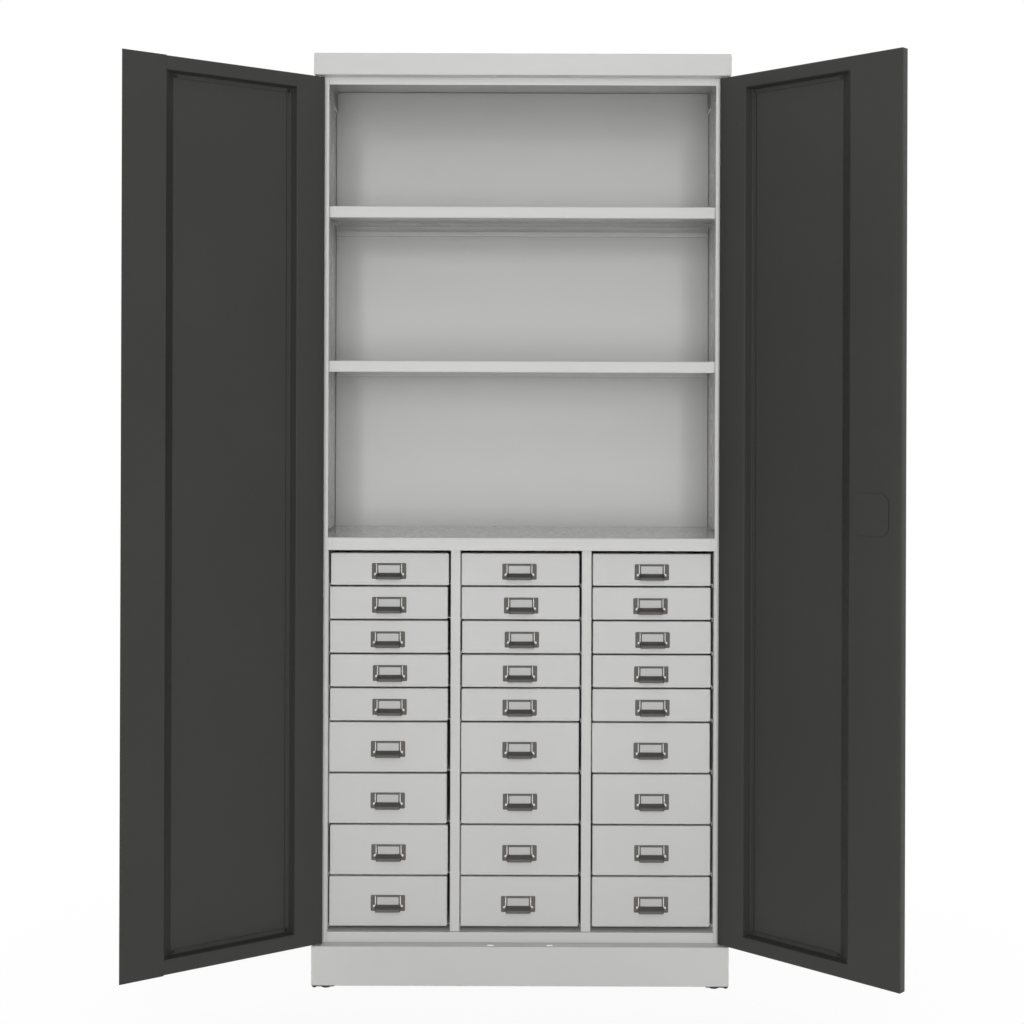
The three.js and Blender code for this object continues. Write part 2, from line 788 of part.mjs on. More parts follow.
function addFeet() {
  const names = ['front_left_foot', 'front_right_foot', 'rear_left_foot', 'rear_right_foot'];
  const left = footGeometry();
  const right = mirroredX(left);
  const shapes = [left, right, right.clone().rotateZ(Math.PI), left.clone().rotateZ(Math.PI)];
  footPlaces().forEach(([x, y], i) => place(cabinet, names[i], shapes[i], footPlastic, x, y, 0));
}

function addDrawerUnit() {
  place(cabinet, 'drawer_unit_top', geometryOf(unitTopSolid()), bodyPaint);
  const divider = geometryOf(dividerSolid());
  place(cabinet, 'left_divider', divider, bodyPaint, -columnPitch / 2, 0, 0);
  place(cabinet, 'right_divider', divider, bodyPaint, columnPitch / 2, 0, 0);
  const panel = geometryOf(runnerPanelSolid());
  place(cabinet, 'left_runner_panel', mirroredX(panel), bodyPaint);
  place(cabinet, 'right_runner_panel', panel, bodyPaint);
}

// Columns are lettered a to c from the left, rows are numbered from the bottom
function addDrawers() {
  const columns = [['a', -columnPitch], ['b', 0], ['c', columnPitch]];
  const shapes = new Map();
  rows().forEach((row, i) => {
    if (!shapes.has(row.height)) {
      shapes.set(row.height, geometryOf(drawerSolid(row.height)));
    }
    columns.forEach(([letter, x]) => {
      place(cabinet, `drawer_${letter}${i + 1}`, shapes.get(row.height), drawerPaint,
        x, drawerFrontSetback, row.bottom);
    });
  });
}

function addHingePins() {
  [['left', -1], ['right', 1]].forEach(([name, side]) => {
    const pin = uprightCylinder(pinRadius, pinSides, side * pivotX, pivotY,
      plinthTop + seatGap, capBottom - seatGap);
    place(cabinet, `${name}_hinge_pin`, geometryOf(pin), zincSteel);
  });
}

addShell();
addFeet();
addDrawerUnit();
addDrawers();
addHingePins();
addDoor(-1, leftOpenAngle, leftFreeStileWidth, leftFreeStileSlope, false);
addDoor(1, rightOpenAngle, rightFreeStileWidth, rightFreeStileSlope, true);

// The origin is the middle of the footprint at rest, doors open, on the floor
cabinet.updateMatrixWorld(true);
const bounds = new THREE.Box3().setFromObject(cabinet, true);
const middle = bounds.getCenter(new THREE.Vector3());
cabinet.position.set(-middle.x, -middle.y, -bounds.min.z);
cabinet.updateMatrixWorld(true);

const model = new THREE.Group();
model.add(cabinet);

export default model;
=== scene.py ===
"""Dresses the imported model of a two-door steel tool cabinet with small drawers.

Every new piece is a surface worked out with numpy: a folded section carried along a line, a
section carried round a rounded rectangle, or a grid of two parameters. Lengths are in metres.
"""

import json
import math

import bpy
import numpy as np
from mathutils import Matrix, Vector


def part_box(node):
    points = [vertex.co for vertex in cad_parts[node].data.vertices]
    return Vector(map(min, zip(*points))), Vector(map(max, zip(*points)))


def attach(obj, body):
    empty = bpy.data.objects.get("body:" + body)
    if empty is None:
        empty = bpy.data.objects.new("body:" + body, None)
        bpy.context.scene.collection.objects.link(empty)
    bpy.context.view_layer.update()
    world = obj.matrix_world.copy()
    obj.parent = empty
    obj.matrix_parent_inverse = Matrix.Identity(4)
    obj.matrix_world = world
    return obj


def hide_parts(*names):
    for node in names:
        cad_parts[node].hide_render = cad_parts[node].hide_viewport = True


bl_info = {
    "name": "Steel Tool Cabinet",
    "version": (1, 0, 0),
    "blender": (4, 5, 0),
    "location": "View3D > Sidebar > Cabinet",
    "description": "Dresses a steel tool cabinet with double doors, shelves and small drawers",
    "category": "Object",
}

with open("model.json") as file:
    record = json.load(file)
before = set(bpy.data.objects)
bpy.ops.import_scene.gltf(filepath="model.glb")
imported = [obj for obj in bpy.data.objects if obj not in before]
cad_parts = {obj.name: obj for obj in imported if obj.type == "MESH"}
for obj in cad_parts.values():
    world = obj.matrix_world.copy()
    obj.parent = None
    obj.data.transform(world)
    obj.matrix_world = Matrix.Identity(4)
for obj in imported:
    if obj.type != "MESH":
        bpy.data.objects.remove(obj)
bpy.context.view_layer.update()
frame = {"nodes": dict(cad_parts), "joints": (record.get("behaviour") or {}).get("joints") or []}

COLUMNS = ("a", "b", "c")
ROWS = range(1, 10)
SIDES = {"left": -1.0, "right": 1.0}
HINGES = {joint["name"]: joint for joint in frame["joints"] if joint["type"] == "hinge"}


# Properties


def length(name, description, default):
    """A length in metres, shown in the scene's unit."""
    return bpy.props.FloatProperty(
        name=name, description=description, default=default, min=0.0, precision=5,
        unit="LENGTH", subtype="DISTANCE",
    )


def colour(name, description, default):
    """A linear colour."""
    return bpy.props.FloatVectorProperty(
        name=name, description=description, default=default, size=3, min=0.0, max=1.0,
        subtype="COLOR",
    )


def amount(name, description, default, high=1.0):
    """A plain number from nought."""
    return bpy.props.FloatProperty(
        name=name, description=description, default=default, min=0.0, max=high, precision=4,
    )


class CabinetSheetSizes(bpy.types.PropertyGroup):
    """Sizes that the folded sheets share."""

    sheet: length("Sheet", "Thickness of the steel sheet", 0.0012)
    bend: length("Inner bend", "Radius inside a fold", 0.0009)
    edge: length("Cut edge", "Rounding of a cut edge", 0.00022)
    gap: length("Seam gap", "Gap at a welded seam", 0.0003)
    bend_steps: bpy.props.IntProperty(
        name="Bend steps", description="Flats along a quarter turn", default=5, min=2, max=12,
    )
    cap_height: length("Cap height", "Height of the cap's front", 0.042)
    cap_corner: length("Cap corner", "Rounding of the cap's upright corners", 0.003)
    plinth_ledge: length("Plinth ledge", "Depth of the ledge on the plinth's front", 0.040)
    plinth_top_flange: length("Plinth top flange", "Flange on the other three sides", 0.030)
    plinth_bottom_flange: length("Plinth bottom flange", "Flange under the plinth", 0.045)
    rear_flange: length("Rear flange", "Width of a side panel's rear flange", 0.022)
    strike_offset: length("Strike offset", "Slot's distance from the middle", 0.057)
    strike_length: length("Strike length", "Length of a lock slot", 0.014)
    strike_width: length("Strike width", "Width of a lock slot", 0.009)
    shelf_return: length("Shelf return", "Width of a shelf's folded return", 0.014)
    shelf_hem: length("Shelf hem", "Height of a shelf's hem", 0.0095)
    lap_reach: length("Lap reach", "Unit lip's reach over a side flange", 0.011)
    lap_width: length("Lap width", "Width of the unit lip's lap beside its middle", 0.0195)
    lap_step: length("Lap step", "How far the unit's lip stands before its laps", 0.0007)
    notch_width: length("Notch width", "Width of a notch in the back panel", 0.004)
    notch_height: length("Notch height", "Height of a notch in the back panel", 0.043)
    foot_side: length("Foot side inset", "Foot's distance from the plinth's side", 0.028)
    foot_front: length("Foot front inset", "Foot's distance from the plinth's front", 0.013)
    foot_radius: length("Foot radius", "Radius of a levelling foot", 0.010)
    pad_sheet: length("Pad thickness", "Thickness of a foot's pad", 0.0012)
    peg_inset: length("Peg inset", "Peg's distance from the plinth's corner", 0.006)
    peg_radius: length("Peg radius", "Radius of a pad's peg", 0.004)
    divider_width: length("Divider width", "Width of a divider's face", 0.019)
    runner_reach: length("Runner reach", "Width of a drawer runner's ledge", 0.009)
    runner_leg: length("Runner leg", "Height of a drawer runner's leg", 0.007)
    tray_lift: length("Tray lift", "Tray's height over the bottom of its front", 0.003)


class CabinetUprightSizes(bpy.types.PropertyGroup):
    """Slotted uprights and the clips that carry the shelves."""

    stand_off: length("Stand-off", "Face's distance from the side panel", 0.004)
    width: length("Width", "Width of an upright", 0.070)
    front_place: length("Front place", "Front upright's distance from the cabinet's front", 0.060)
    rear_place: length("Rear place", "Rear upright's distance from the cabinet's front", 0.245)
    slot_pitch: length("Slot pitch", "Distance between slots", 0.0507)
    slot_height: length("Slot height", "Height of a slot", 0.018)
    slot_width: length("Slot width", "Width of a slot", 0.010)
    end_margin: length("End margin", "First slot's height over the drawer unit's top", 0.036)
    foot_gap: length("Foot gap", "Upright's distance from the drawer unit's top", 0.004)
    head_gap: length("Head gap", "Upright's distance from the side panel's top", 0.001)
    clip_reach: length("Clip reach", "Clip's length under a shelf", 0.014)
    clip_width: length("Clip width", "Width of a clip", 0.016)
    clip_sheet: length("Clip sheet", "Thickness of a clip", 0.002)
    clip_drop: length("Clip drop", "Height of a clip's hooked leg", 0.012)


class CabinetDrawerSizes(bpy.types.PropertyGroup):
    """Drawer fronts, trays and their label-holder pulls."""

    width: length("Front width", "Width of a drawer front", 0.230)
    front_return: length("Front return", "Depth of the folded front", 0.011)
    front_corner: length("Front corner", "Rounding of a front's corners", 0.0028)
    crown: length("Crown", "How far a front's middle stands before its edges", 0.0008)
    front_bend: length("Front bend", "Radius inside a front's folds", 0.0016)
    tray_depth: length("Tray depth", "Depth of a tray", 0.330)
    tray_inset: length("Tray inset", "Tray's side distance inside its front", 0.001)
    tray_drop: length("Tray drop", "Tray's rim below the top of its front", 0.008)
    pull_width: length("Pull width", "Width of a pull", 0.067)
    pull_height: length("Pull height", "Height of a pull", 0.031)
    plate: length("Pull plate", "Thickness of a pull's plate", 0.0015)
    plate_corner: length("Pull corner", "Rounding of a pull's corners", 0.0022)
    window_width: length("Window width", "Width of the label window", 0.0415)
    window_height: length("Window height", "Height of the label window", 0.0145)
    window_drop: length("Window drop", "Window's distance from the pull's top", 0.0042)
    rib_width: length("Rib width", "Width of a rib beside the window", 0.0034)
    rib_height: length("Rib height", "Height of a rib over the plate", 0.0019)
    rib_offset: length("Rib offset", "Rib's distance from the pull's middle", 0.0243)
    cup_width: length("Cup width", "Width of the finger cup", 0.0485)
    cup_reach: length("Cup reach", "How far the finger cup stands out", 0.013)
    cup_height: length("Cup height", "Height of the finger cup", 0.0118)
    cup_lip: length("Cup lip", "Height of the finger cup's upright front", 0.0052)
    cup_wall: length("Cup wall", "Thickness of the finger cup", 0.001)
    rivet_radius: length("Rivet radius", "Radius of a rivet's dome", 0.00312)
    rivet_offset: length("Rivet offset", "Rivet's distance from the pull's middle", 0.0268)
    rivet_height: length("Rivet height", "Rivet's height over the pull's bottom", 0.0098)


class CabinetDoorSizes(bpy.types.PropertyGroup):
    """Double doors with formed frames round a recessed panel."""

    width: length("Door width", "Width of a door", 0.3995)
    thickness: length("Door thickness", "Thickness of a door", 0.020)
    pivot_from_edge: length("Pivot from edge", "Pivot's distance from the hinge edge", 0.008)
    pivot_from_face: length("Pivot from face", "Pivot's distance from the outer face", 0.009)
    corner: length("Door corner", "Rounding of a door's corners", 0.0016)
    hinge_return: length("Hinge return", "Skin's flange on the hinge side", 0.020)
    free_return: length("Free return", "Skin's flange on the free side", 0.0237)
    hinge_stile: length("Hinge stile", "Width of the hinge stile", 0.060)
    hinge_slope: length("Hinge slope", "Width of the hinge stile's slope", 0.0055)
    left_stile: length("Left free stile", "Width of the left door's free stile", 0.0725)
    left_slope: length("Left free slope", "Width of that stile's slope", 0.021)
    right_stile: length("Right free stile", "Width of the right door's free stile", 0.106)
    right_slope: length("Right free slope", "Width of that stile's slope", 0.026)
    stile_foot: length("Stile foot", "Width of the foot that is welded to the skin", 0.008)
    top_rail: length("Top rail", "Height of the top rail", 0.024)
    bottom_rail: length("Bottom rail", "Height of the bottom rail", 0.026)
    rail_slope: length("Rail slope", "Height of a rail's slope", 0.0025)
    skin_bend: length("Skin bend", "Radius inside the door edges' folds", 0.0022)
    seam: length("Door seam", "Gap at the door's dressed seams", 0.00002)
    meeting_lap: length("Meeting lap", "Meeting strip's reach past the left door", 0.012)
    frame_bend: length("Frame bend", "Radius inside the frame's folds", 0.0016)
    plate_width: length("Plate width", "Width of the lock's cover plate", 0.074)
    plate_height: length("Plate height", "Height of the lock's cover plate", 0.076)
    plate_chamfer: length("Plate chamfer", "Cut of the plate's corners", 0.0115)
    plate_sheet: length("Plate sheet", "Thickness of the cover plate", 0.0015)
    plate_from_edge: length("Plate from edge", "Plate's middle from the free edge", 0.0615)
    pin_hole: length("Pin hole", "Radius of the hinge pin's hole", 0.0041)
    rod_hole_width: length("Rod hole width", "Width of a lock rod's hole", 0.0108)
    rod_hole_depth: length("Rod hole depth", "Depth of a lock rod's hole", 0.0048)
    spindle_hole: length("Spindle hole", "Radius of the spindle's hole", 0.0055)
    lock_from_edge: length("Lock from edge", "Spindle's distance from the free edge", 0.0555)
    lever_length: length("Lever length", "Length of the lever from the spindle", 0.105)
    lever_width: length("Lever width", "Width of the lever", 0.020)
    lever_thickness: length("Lever thickness", "Thickness of the lever", 0.010)
    rose_radius: length("Rose radius", "Radius of the handle's rose", 0.022)
    rose_thickness: length("Rose thickness", "Thickness of the handle's rose", 0.006)
    neck_radius: length("Neck radius", "Radius of the handle's neck", 0.008)
    neck_length: length("Neck length", "Length of the handle's neck", 0.020)


class CabinetFinishes(bpy.types.PropertyGroup):
    """Colours and grain of the cabinet's finishes."""

    body: colour("Body paint", "Light grey powder paint", (0.585, 0.585, 0.572))
    drawer: colour("Drawer paint", "Light grey powder paint of the drawers", (0.59, 0.59, 0.585))
    door: colour("Door paint", "Charcoal grey powder paint", (0.030, 0.030, 0.0285))
    nickel: colour("Nickel", "Dark nickel plating of the pulls", (0.138, 0.134, 0.126))
    # Ribs and rivets are the pull's own nickel, lightened: this colour paints the lamps'
    # highlights on them
    bright: colour("Painted highlight nickel", "Nickel of ribs and rivets, lightened to paint their highlights", (0.66, 0.64, 0.60))
    zinc: colour("Zinc", "Zinc plating of the hidden steel", (0.62, 0.62, 0.60))
    card: colour("Card", "Label card", (0.52, 0.52, 0.515))
    black: colour("Black", "Feet and handle", (0.012, 0.012, 0.012))
    grain: length("Paint grain", "Width of the powder paint's grain", 0.0024)
    grain_height: length("Grain height", "Height of the powder paint's grain", 0.00002)


class CabinetStage(bpy.types.PropertyGroup):
    """Floor, lamps and camera."""

    focal: amount("Focal length", "Focal length in millimetres", 58.49, 200.0)
    distance: length("Camera distance", "Camera's distance from the cabinet's front", 3.200)
    height: length("Camera height", "Camera's height over the floor", 1.0945)
    shift_right: bpy.props.FloatProperty(
        name="Shift X", description="Sideways shift of the picture", default=-0.0095,
    )
    shift_up: bpy.props.FloatProperty(
        name="Shift Y", description="Upward shift of the picture", default=-0.0898,
    )
    roll: bpy.props.FloatProperty(
        name="Roll", description="Turn about the line of sight", default=-0.0033,
        unit="ROTATION", subtype="ANGLE",
    )
    front_power: amount("Front power", "Power of the large lamp in front", 147.0, 1000.0)
    high_power: amount("High power", "Power of the lamp above the front lamp", 25.0, 1000.0)
    top_power: amount("Top power", "Power of the lamp over the cabinet's front", 13.0, 1000.0)
    overhead_power: amount("Overhead power", "Power of the lamp over the cap", 45.0, 1000.0)
    side_power: amount("Side power", "Power of the lamp beside each outer side", 45.0, 1000.0)
    rear_power: amount("Rear power", "Power of the lamp behind the cabinet", 85.0, 1000.0)
    sky: amount("Sky", "Strength of the even light from all round", 0.04, 5.0)


# Lines and sections


def unit_vectors(vectors):
    """Each row divided by its length."""
    return vectors / np.linalg.norm(vectors, axis=-1, keepdims=True)


def bent_line(corners, radius, steps):
    """Open line through corner points in which each inner corner becomes an arc.

    The arc's centre lies on the corner's bisector, radius over the sine of half the angle away.
    A point of the arc is the centre plus a blend of the two end directions, weighted by the
    sines of the turn still to go and the turn already made.
    """
    corners = np.asarray(corners, float)
    pieces = [corners[:1]]
    share = np.linspace(0.0, 1.0, steps + 1)[:, None]
    for before, corner, after in zip(corners[:-2], corners[1:-1], corners[2:]):
        back, on = unit_vectors(before - corner), unit_vectors(after - corner)
        half = 0.5 * math.acos(float(np.clip(back @ on, -1.0, 1.0)))
        centre = corner + unit_vectors(back + on) * radius / math.sin(half)
        reach = radius / math.tan(half)
        first, last = corner + back * reach - centre, corner + on * reach - centre
        turn = math.pi - 2.0 * half
        blend = np.sin((1.0 - share) * turn) * first + np.sin(share * turn) * last
        pieces.append(centre + blend / math.sin(turn))
    pieces.append(corners[-1:])
    return np.vstack(pieces)


def offset_line(line, distance):
    """Line moved sideways: each point goes along the bisector of its edges' left normals.

    The step is the distance over the cosine of half the turn, so both edges move by it.
    """
    edges = unit_vectors(np.diff(line, axis=0))
    normals = np.stack([-edges[:, 1], edges[:, 0]], axis=1)
    before, after = np.vstack([normals[:1], normals]), np.vstack([normals, normals[-1:]])
    bisector = unit_vectors(before + after)
    return line + bisector * distance / np.sum(bisector * after, axis=1, keepdims=True)


def rounded_rectangle(low, high, radius, steps):
    """Closed loop: each corner's centre plus radius times the cosines and sines of its quarter."""
    quarter = np.linspace(0.0, math.pi / 2, steps + 1)
    angles = np.arange(4)[:, None] * (math.pi / 2) + quarter
    centres = np.array([
        [high[0] - radius, high[1] - radius], [low[0] + radius, high[1] - radius],
        [low[0] + radius, low[1] + radius], [high[0] - radius, low[1] + radius],
    ])
    circle = np.stack([np.cos(angles), np.sin(angles)], axis=-1)
    return (centres[:, None, :] + radius * circle).reshape(-1, 2)


# Faces


def strip_faces(rows, columns, wrap):
    """Quads of a grid of points, row after row; wrap joins the last column to the first."""
    index = np.arange(rows * columns).reshape(rows, columns)
    if wrap:
        index = np.hstack([index, index[:, :1]])
    quads = [index[:-1, :-1], index[:-1, 1:], index[1:, 1:], index[1:, :-1]]
    return np.stack(quads, axis=-1).reshape(-1, 4)


def signed_volume(points, faces):
    """Six times the volume: each face's fan of triangles with the origin, summed."""
    total = 0.0
    for group in faces:
        first = points[group[:, :1]]
        cross = np.cross(points[group[:, 1:-1]], points[group[:, 2:]])
        total += float(np.sum(first * cross))
    return total


class Form:
    """Points and faces of one piece, gathered from closed surfaces that face outwards."""

    def __init__(self):
        self.points = []
        self.faces = []
        self.count = 0

    def add(self, points, faces):
        """Adds one closed surface, turned over if its volume comes out negative."""
        points = np.asarray(points, float).reshape(-1, 3)
        if signed_volume(points, faces) < 0.0:
            faces = [group[:, ::-1] for group in faces]
        self.points.append(points)
        self.faces.extend(group + self.count for group in faces)
        self.count += len(points)
        return self

    def moved(self, matrix, shift):
        """The same form turned by a 3 by 3 matrix and then shifted."""
        other = Form()
        other.points = [points @ np.asarray(matrix).T + shift for points in self.points]
        other.count = self.count
        flip = np.linalg.det(matrix) < 0.0
        other.faces = [group[:, ::-1] if flip else group for group in self.faces]
        return other

    def join(self, form):
        """Takes another form's surfaces in."""
        self.points.extend(form.points)
        self.faces.extend(group + self.count for group in form.faces)
        self.count += form.count
        return self

    def mesh(self, name):
        """A Blender mesh of the form, smooth except along its sharp edges."""
        mesh = bpy.data.meshes.new(name)
        faces = [face for group in self.faces for face in group.tolist()]
        mesh.from_pydata(np.vstack(self.points).tolist(), [], faces)
        smooth_mesh(mesh)
        return mesh


SHARP_ANGLE = math.radians(32.0)


def smooth_mesh(mesh):
    """Marks edges sharper than the sharp angle, and shades the rest smooth."""
    mesh.polygons.foreach_set("use_smooth", np.ones(len(mesh.polygons), bool))
    mesh.set_sharp_from_angle(angle=SHARP_ANGLE)
    mesh.update()


# Surfaces

AXIS_ORDER = {"X": [2, 0, 1], "Y": [0, 2, 1], "Z": [0, 1, 2]}


def along_axis(section, places, axis):
    """Section points with a third coordinate, in the order that the axis needs."""
    column = np.broadcast_to(np.asarray(places, float), len(section))[:, None]
    return np.hstack([section, column])[:, AXIS_ORDER[axis]]


def sheet_ring(corners, sheet, bend, steps):
    """Outline of a folded sheet's section, and the ladder of quads that closes its ends."""
    middle = bent_line(corners, bend + sheet / 2, steps)
    one, other = offset_line(middle, sheet / 2), offset_line(middle, -sheet / 2)
    ring = np.vstack([one, other[::-1]])
    near = np.arange(len(one) - 1)
    far = len(ring) - 1 - near
    return ring, np.stack([near, near + 1, far - 1, far], axis=1)


def folded_strip(form, corners, start, end, axis, sheet, bend, steps):
    """Folded sheet: the section's middle line, offset by half the sheet to both sides.

    The two lines make one closed ring, carried from start to end along the axis. Start and end
    are numbers, or functions that give a number for each section point, for a sloping cut.
    """
    ring, ladder = sheet_ring(corners, sheet, bend, steps)
    places = [place(ring) if callable(place) else place for place in (start, end)]
    points = np.vstack([along_axis(ring, place, axis) for place in places])
    count = len(ring)
    return form.add(points, [strip_faces(2, count, True), ladder[:, ::-1], ladder + count])


def stepped_strip(form, corners, stations, reach, sheet, bend, steps):
    """Folded sheet along X whose front edge steps forward between its stations.

    Each station is a place and a step. A section point goes forward by the step times a share,
    which falls from one at the front to nought at the reach and is eased as three times its
    square less twice its cube.
    """
    ring, ladder = sheet_ring(corners, sheet, bend, steps)
    share = np.clip(1.0 - (ring[:, :1] - ring[:, 0].min() - sheet) / reach, 0.0, 1.0)
    share = share * share * (3.0 - 2.0 * share)
    loops = [along_axis(ring - share * (step, 0.0), place, "X") for place, step in stations]
    count = len(ring)
    rows = len(stations)
    return form.add(np.vstack(loops), [strip_faces(rows, count, True), ladder[:, ::-1],
                                       ladder + count * (rows - 1)])


def lofted(form, loops, closed_ring=False):
    """Surface through a stack of loops; the end loops are capped, or joined to each other."""
    loops = np.asarray(loops, float)
    rows, columns = loops.shape[:2]
    if closed_ring:
        quads = strip_faces(rows + 1, columns, True) % (rows * columns)
        return form.add(loops, [quads])
    first = np.arange(columns)[None, ::-1]
    last = np.arange(columns)[None, :] + (rows - 1) * columns
    return form.add(loops, [strip_faces(rows, columns, True), first, last])


def pan_insets(distances, knee, shares):
    """Insets on the four sides: equal up to the knee, and scaled by each side's share past it."""
    distances = np.asarray(distances, float)[:, None]
    return np.minimum(distances, knee) + np.maximum(distances - knee, 0.0) * shares


def pan_loops(low, high, insets, corner, steps):
    """Rounded rectangles, one for each row of insets at left, right, low and high sides."""
    smallest = corner / 12
    loops = []
    for left, right, under, over in insets:
        inset = min(left, right, under, over)
        radius = max(corner - inset, smallest)
        loops.append(rounded_rectangle(
            (low[0] + left, low[1] + under), (high[0] - right, high[1] - over), radius, steps,
        ))
    return np.asarray(loops)


def folded_pan(form, low, high, section, shares, corner, sheet, bend, steps, place, ring=False):
    """Folded pan: a sheet section carried round a rounded rectangle.

    The section holds (inset, depth) corners of the sheet's middle line, from rim to face. Its
    inner and outer offsets make one closed surface: capped at the face, or a ring without one.
    place turns loops of (across, along, depth) into points of the row frame.
    """
    middle = bent_line(section, bend + sheet / 2, steps)
    inner, outer = offset_line(middle, sheet / 2), offset_line(middle, -sheet / 2)
    line = np.vstack([inner[::-1], outer])
    knee = 2 * (bend + sheet)
    shares = np.asarray(shares, float)
    if shares.ndim == 2:
        doubled = np.repeat(shares, [len(middle) - len(middle) // 2, len(middle) // 2], axis=0)
        shares = np.vstack([doubled[::-1], doubled])
    insets = pan_insets(line[:, 0], knee, shares)
    flat = pan_loops(low, high, insets, corner, steps)
    depth = np.broadcast_to(line[:, 1, None, None], flat.shape[:2] + (1,))
    return lofted(form, place(np.concatenate([flat, depth], axis=-1)), ring)


def slab(form, outline, start, end, axis):
    """Flat plate: a convex outline carried from start to end along the axis."""
    outline = np.asarray(outline, float)
    return lofted(form, [along_axis(outline, place, axis) for place in (start, end)])


def block(form, low, high):
    """Rectangular bar between two corners."""
    outline = [(low[0], low[1]), (high[0], low[1]), (high[0], high[1]), (low[0], high[1])]
    return slab(form, outline, low[2], high[2], "Z")


def turned(form, profile, sides, place, flutes=0, flute_depth=0.0):
    """Turned surface: profile (radius, height) carried round; flutes draw the radius in.

    The radius is scaled by one less the flute depth times half of one less the cosine of flutes
    times the angle.
    """
    profile = np.asarray(profile, float)
    angles = np.linspace(0.0, 2 * math.pi, sides, endpoint=False)
    wave = 1.0 - flute_depth * (0.5 - 0.5 * np.cos(flutes * angles))
    radius = profile[:, :1] * wave
    loops = np.stack([
        radius * np.cos(angles), radius * np.sin(angles),
        np.broadcast_to(profile[:, 1:], radius.shape),
    ], axis=-1)
    return lofted(form, place(loops))


def slot_outline(centre, half_length, half_width, steps):
    """Slot with round ends, long along the first coordinate: two half circles."""
    angles = np.linspace(-math.pi / 2, math.pi / 2, steps)
    reach = half_length - half_width
    right = np.stack([reach + half_width * np.cos(angles), half_width * np.sin(angles)], axis=1)
    return np.vstack([right, -right]) + np.asarray(centre)


# Pieces


def add_object(name, mesh):
    """Links a new object with that mesh at the origin."""
    piece = bpy.data.objects.new(name, mesh)
    bpy.context.scene.collection.objects.link(piece)
    return piece


def cut_out(name, form, *cutters):
    """Mesh of the form less each cutter's closed solids in turn, by exact booleans."""
    piece = add_object(name, form.mesh(name))
    tools = [add_object(name + "_cutter", cutter.mesh(name)) for cutter in cutters]
    for tool in tools:
        boolean = piece.modifiers.new("cut", "BOOLEAN")
        boolean.operation = "DIFFERENCE"
        boolean.solver = "EXACT"
        boolean.object = tool
    graph = bpy.context.evaluated_depsgraph_get()
    mesh = bpy.data.meshes.new_from_object(piece.evaluated_get(graph))
    for spare in (piece, *tools):
        bpy.data.objects.remove(spare)
    smooth_mesh(mesh)
    return mesh


def soften(piece, width, segments=2):
    """Rounds the sharp edges by that width, and weights the normals by face size."""
    bevel = piece.modifiers.new("edges", "BEVEL")
    bevel.width = width
    bevel.segments = segments
    bevel.limit_method = "ANGLE"
    bevel.angle_limit = SHARP_ANGLE
    bevel.miter_outer = "MITER_ARC"
    weighted = piece.modifiers.new("normals", "WEIGHTED_NORMAL")
    weighted.keep_sharp = True
    return piece


def finish_piece(name, shape, finish, body, replaced=(), edge=None):
    """Makes the piece of a form or a mesh, paints it, and sets it on its body."""
    mesh = shape.mesh(name) if isinstance(shape, Form) else shape
    piece = add_object(name, mesh)
    mesh.materials.clear()
    mesh.materials.append(bpy.data.materials[finish])
    if edge:
        soften(piece, edge)
    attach(piece, body)
    if replaced:
        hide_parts(*replaced)
    return piece


def sheet_sizes():
    """The shared sheet sizes of this scene."""
    return bpy.context.scene.cabinet_sheet


def fold_keys(bend=None):
    """Sheet, bend and steps, as the folding functions take them."""
    sizes = sheet_sizes()
    return {"sheet": sizes.sheet, "bend": bend or sizes.bend, "steps": sizes.bend_steps}


def node_box(node):
    """Low and high corners of a CAD node as arrays."""
    low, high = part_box(node)
    return np.array(low), np.array(high)


CAP_LOW, CAP_HIGH = node_box("top_cap")
MIDDLE_X = float(CAP_LOW[0] + CAP_HIGH[0]) / 2
FRONT_Y = float(CAP_LOW[1])


# Finishes


# Range in which nearly all of a noise's values lie
NOISE_LOW, NOISE_HIGH = 0.3, 0.7


class Nodes:
    """Short calls for the nodes and links of one tree."""

    def __init__(self, tree):
        self.tree = tree

    def new(self, kind, **values):
        """A node with those inputs or settings."""
        node = self.tree.nodes.new(kind)
        for key, value in values.items():
            if key in node.inputs:
                node.inputs[key].default_value = value
            else:
                setattr(node, key, value)
        return node

    def link(self, output, target):
        """Joins an output to an input."""
        self.tree.links.new(output, target)

    def joined(self, kind, *outputs, **values):
        """First output of a new node whose first inputs take those outputs."""
        node = self.new(kind, **values)
        for output, target in zip(outputs, node.inputs):
            self.link(output, target)
        return node.outputs[0]


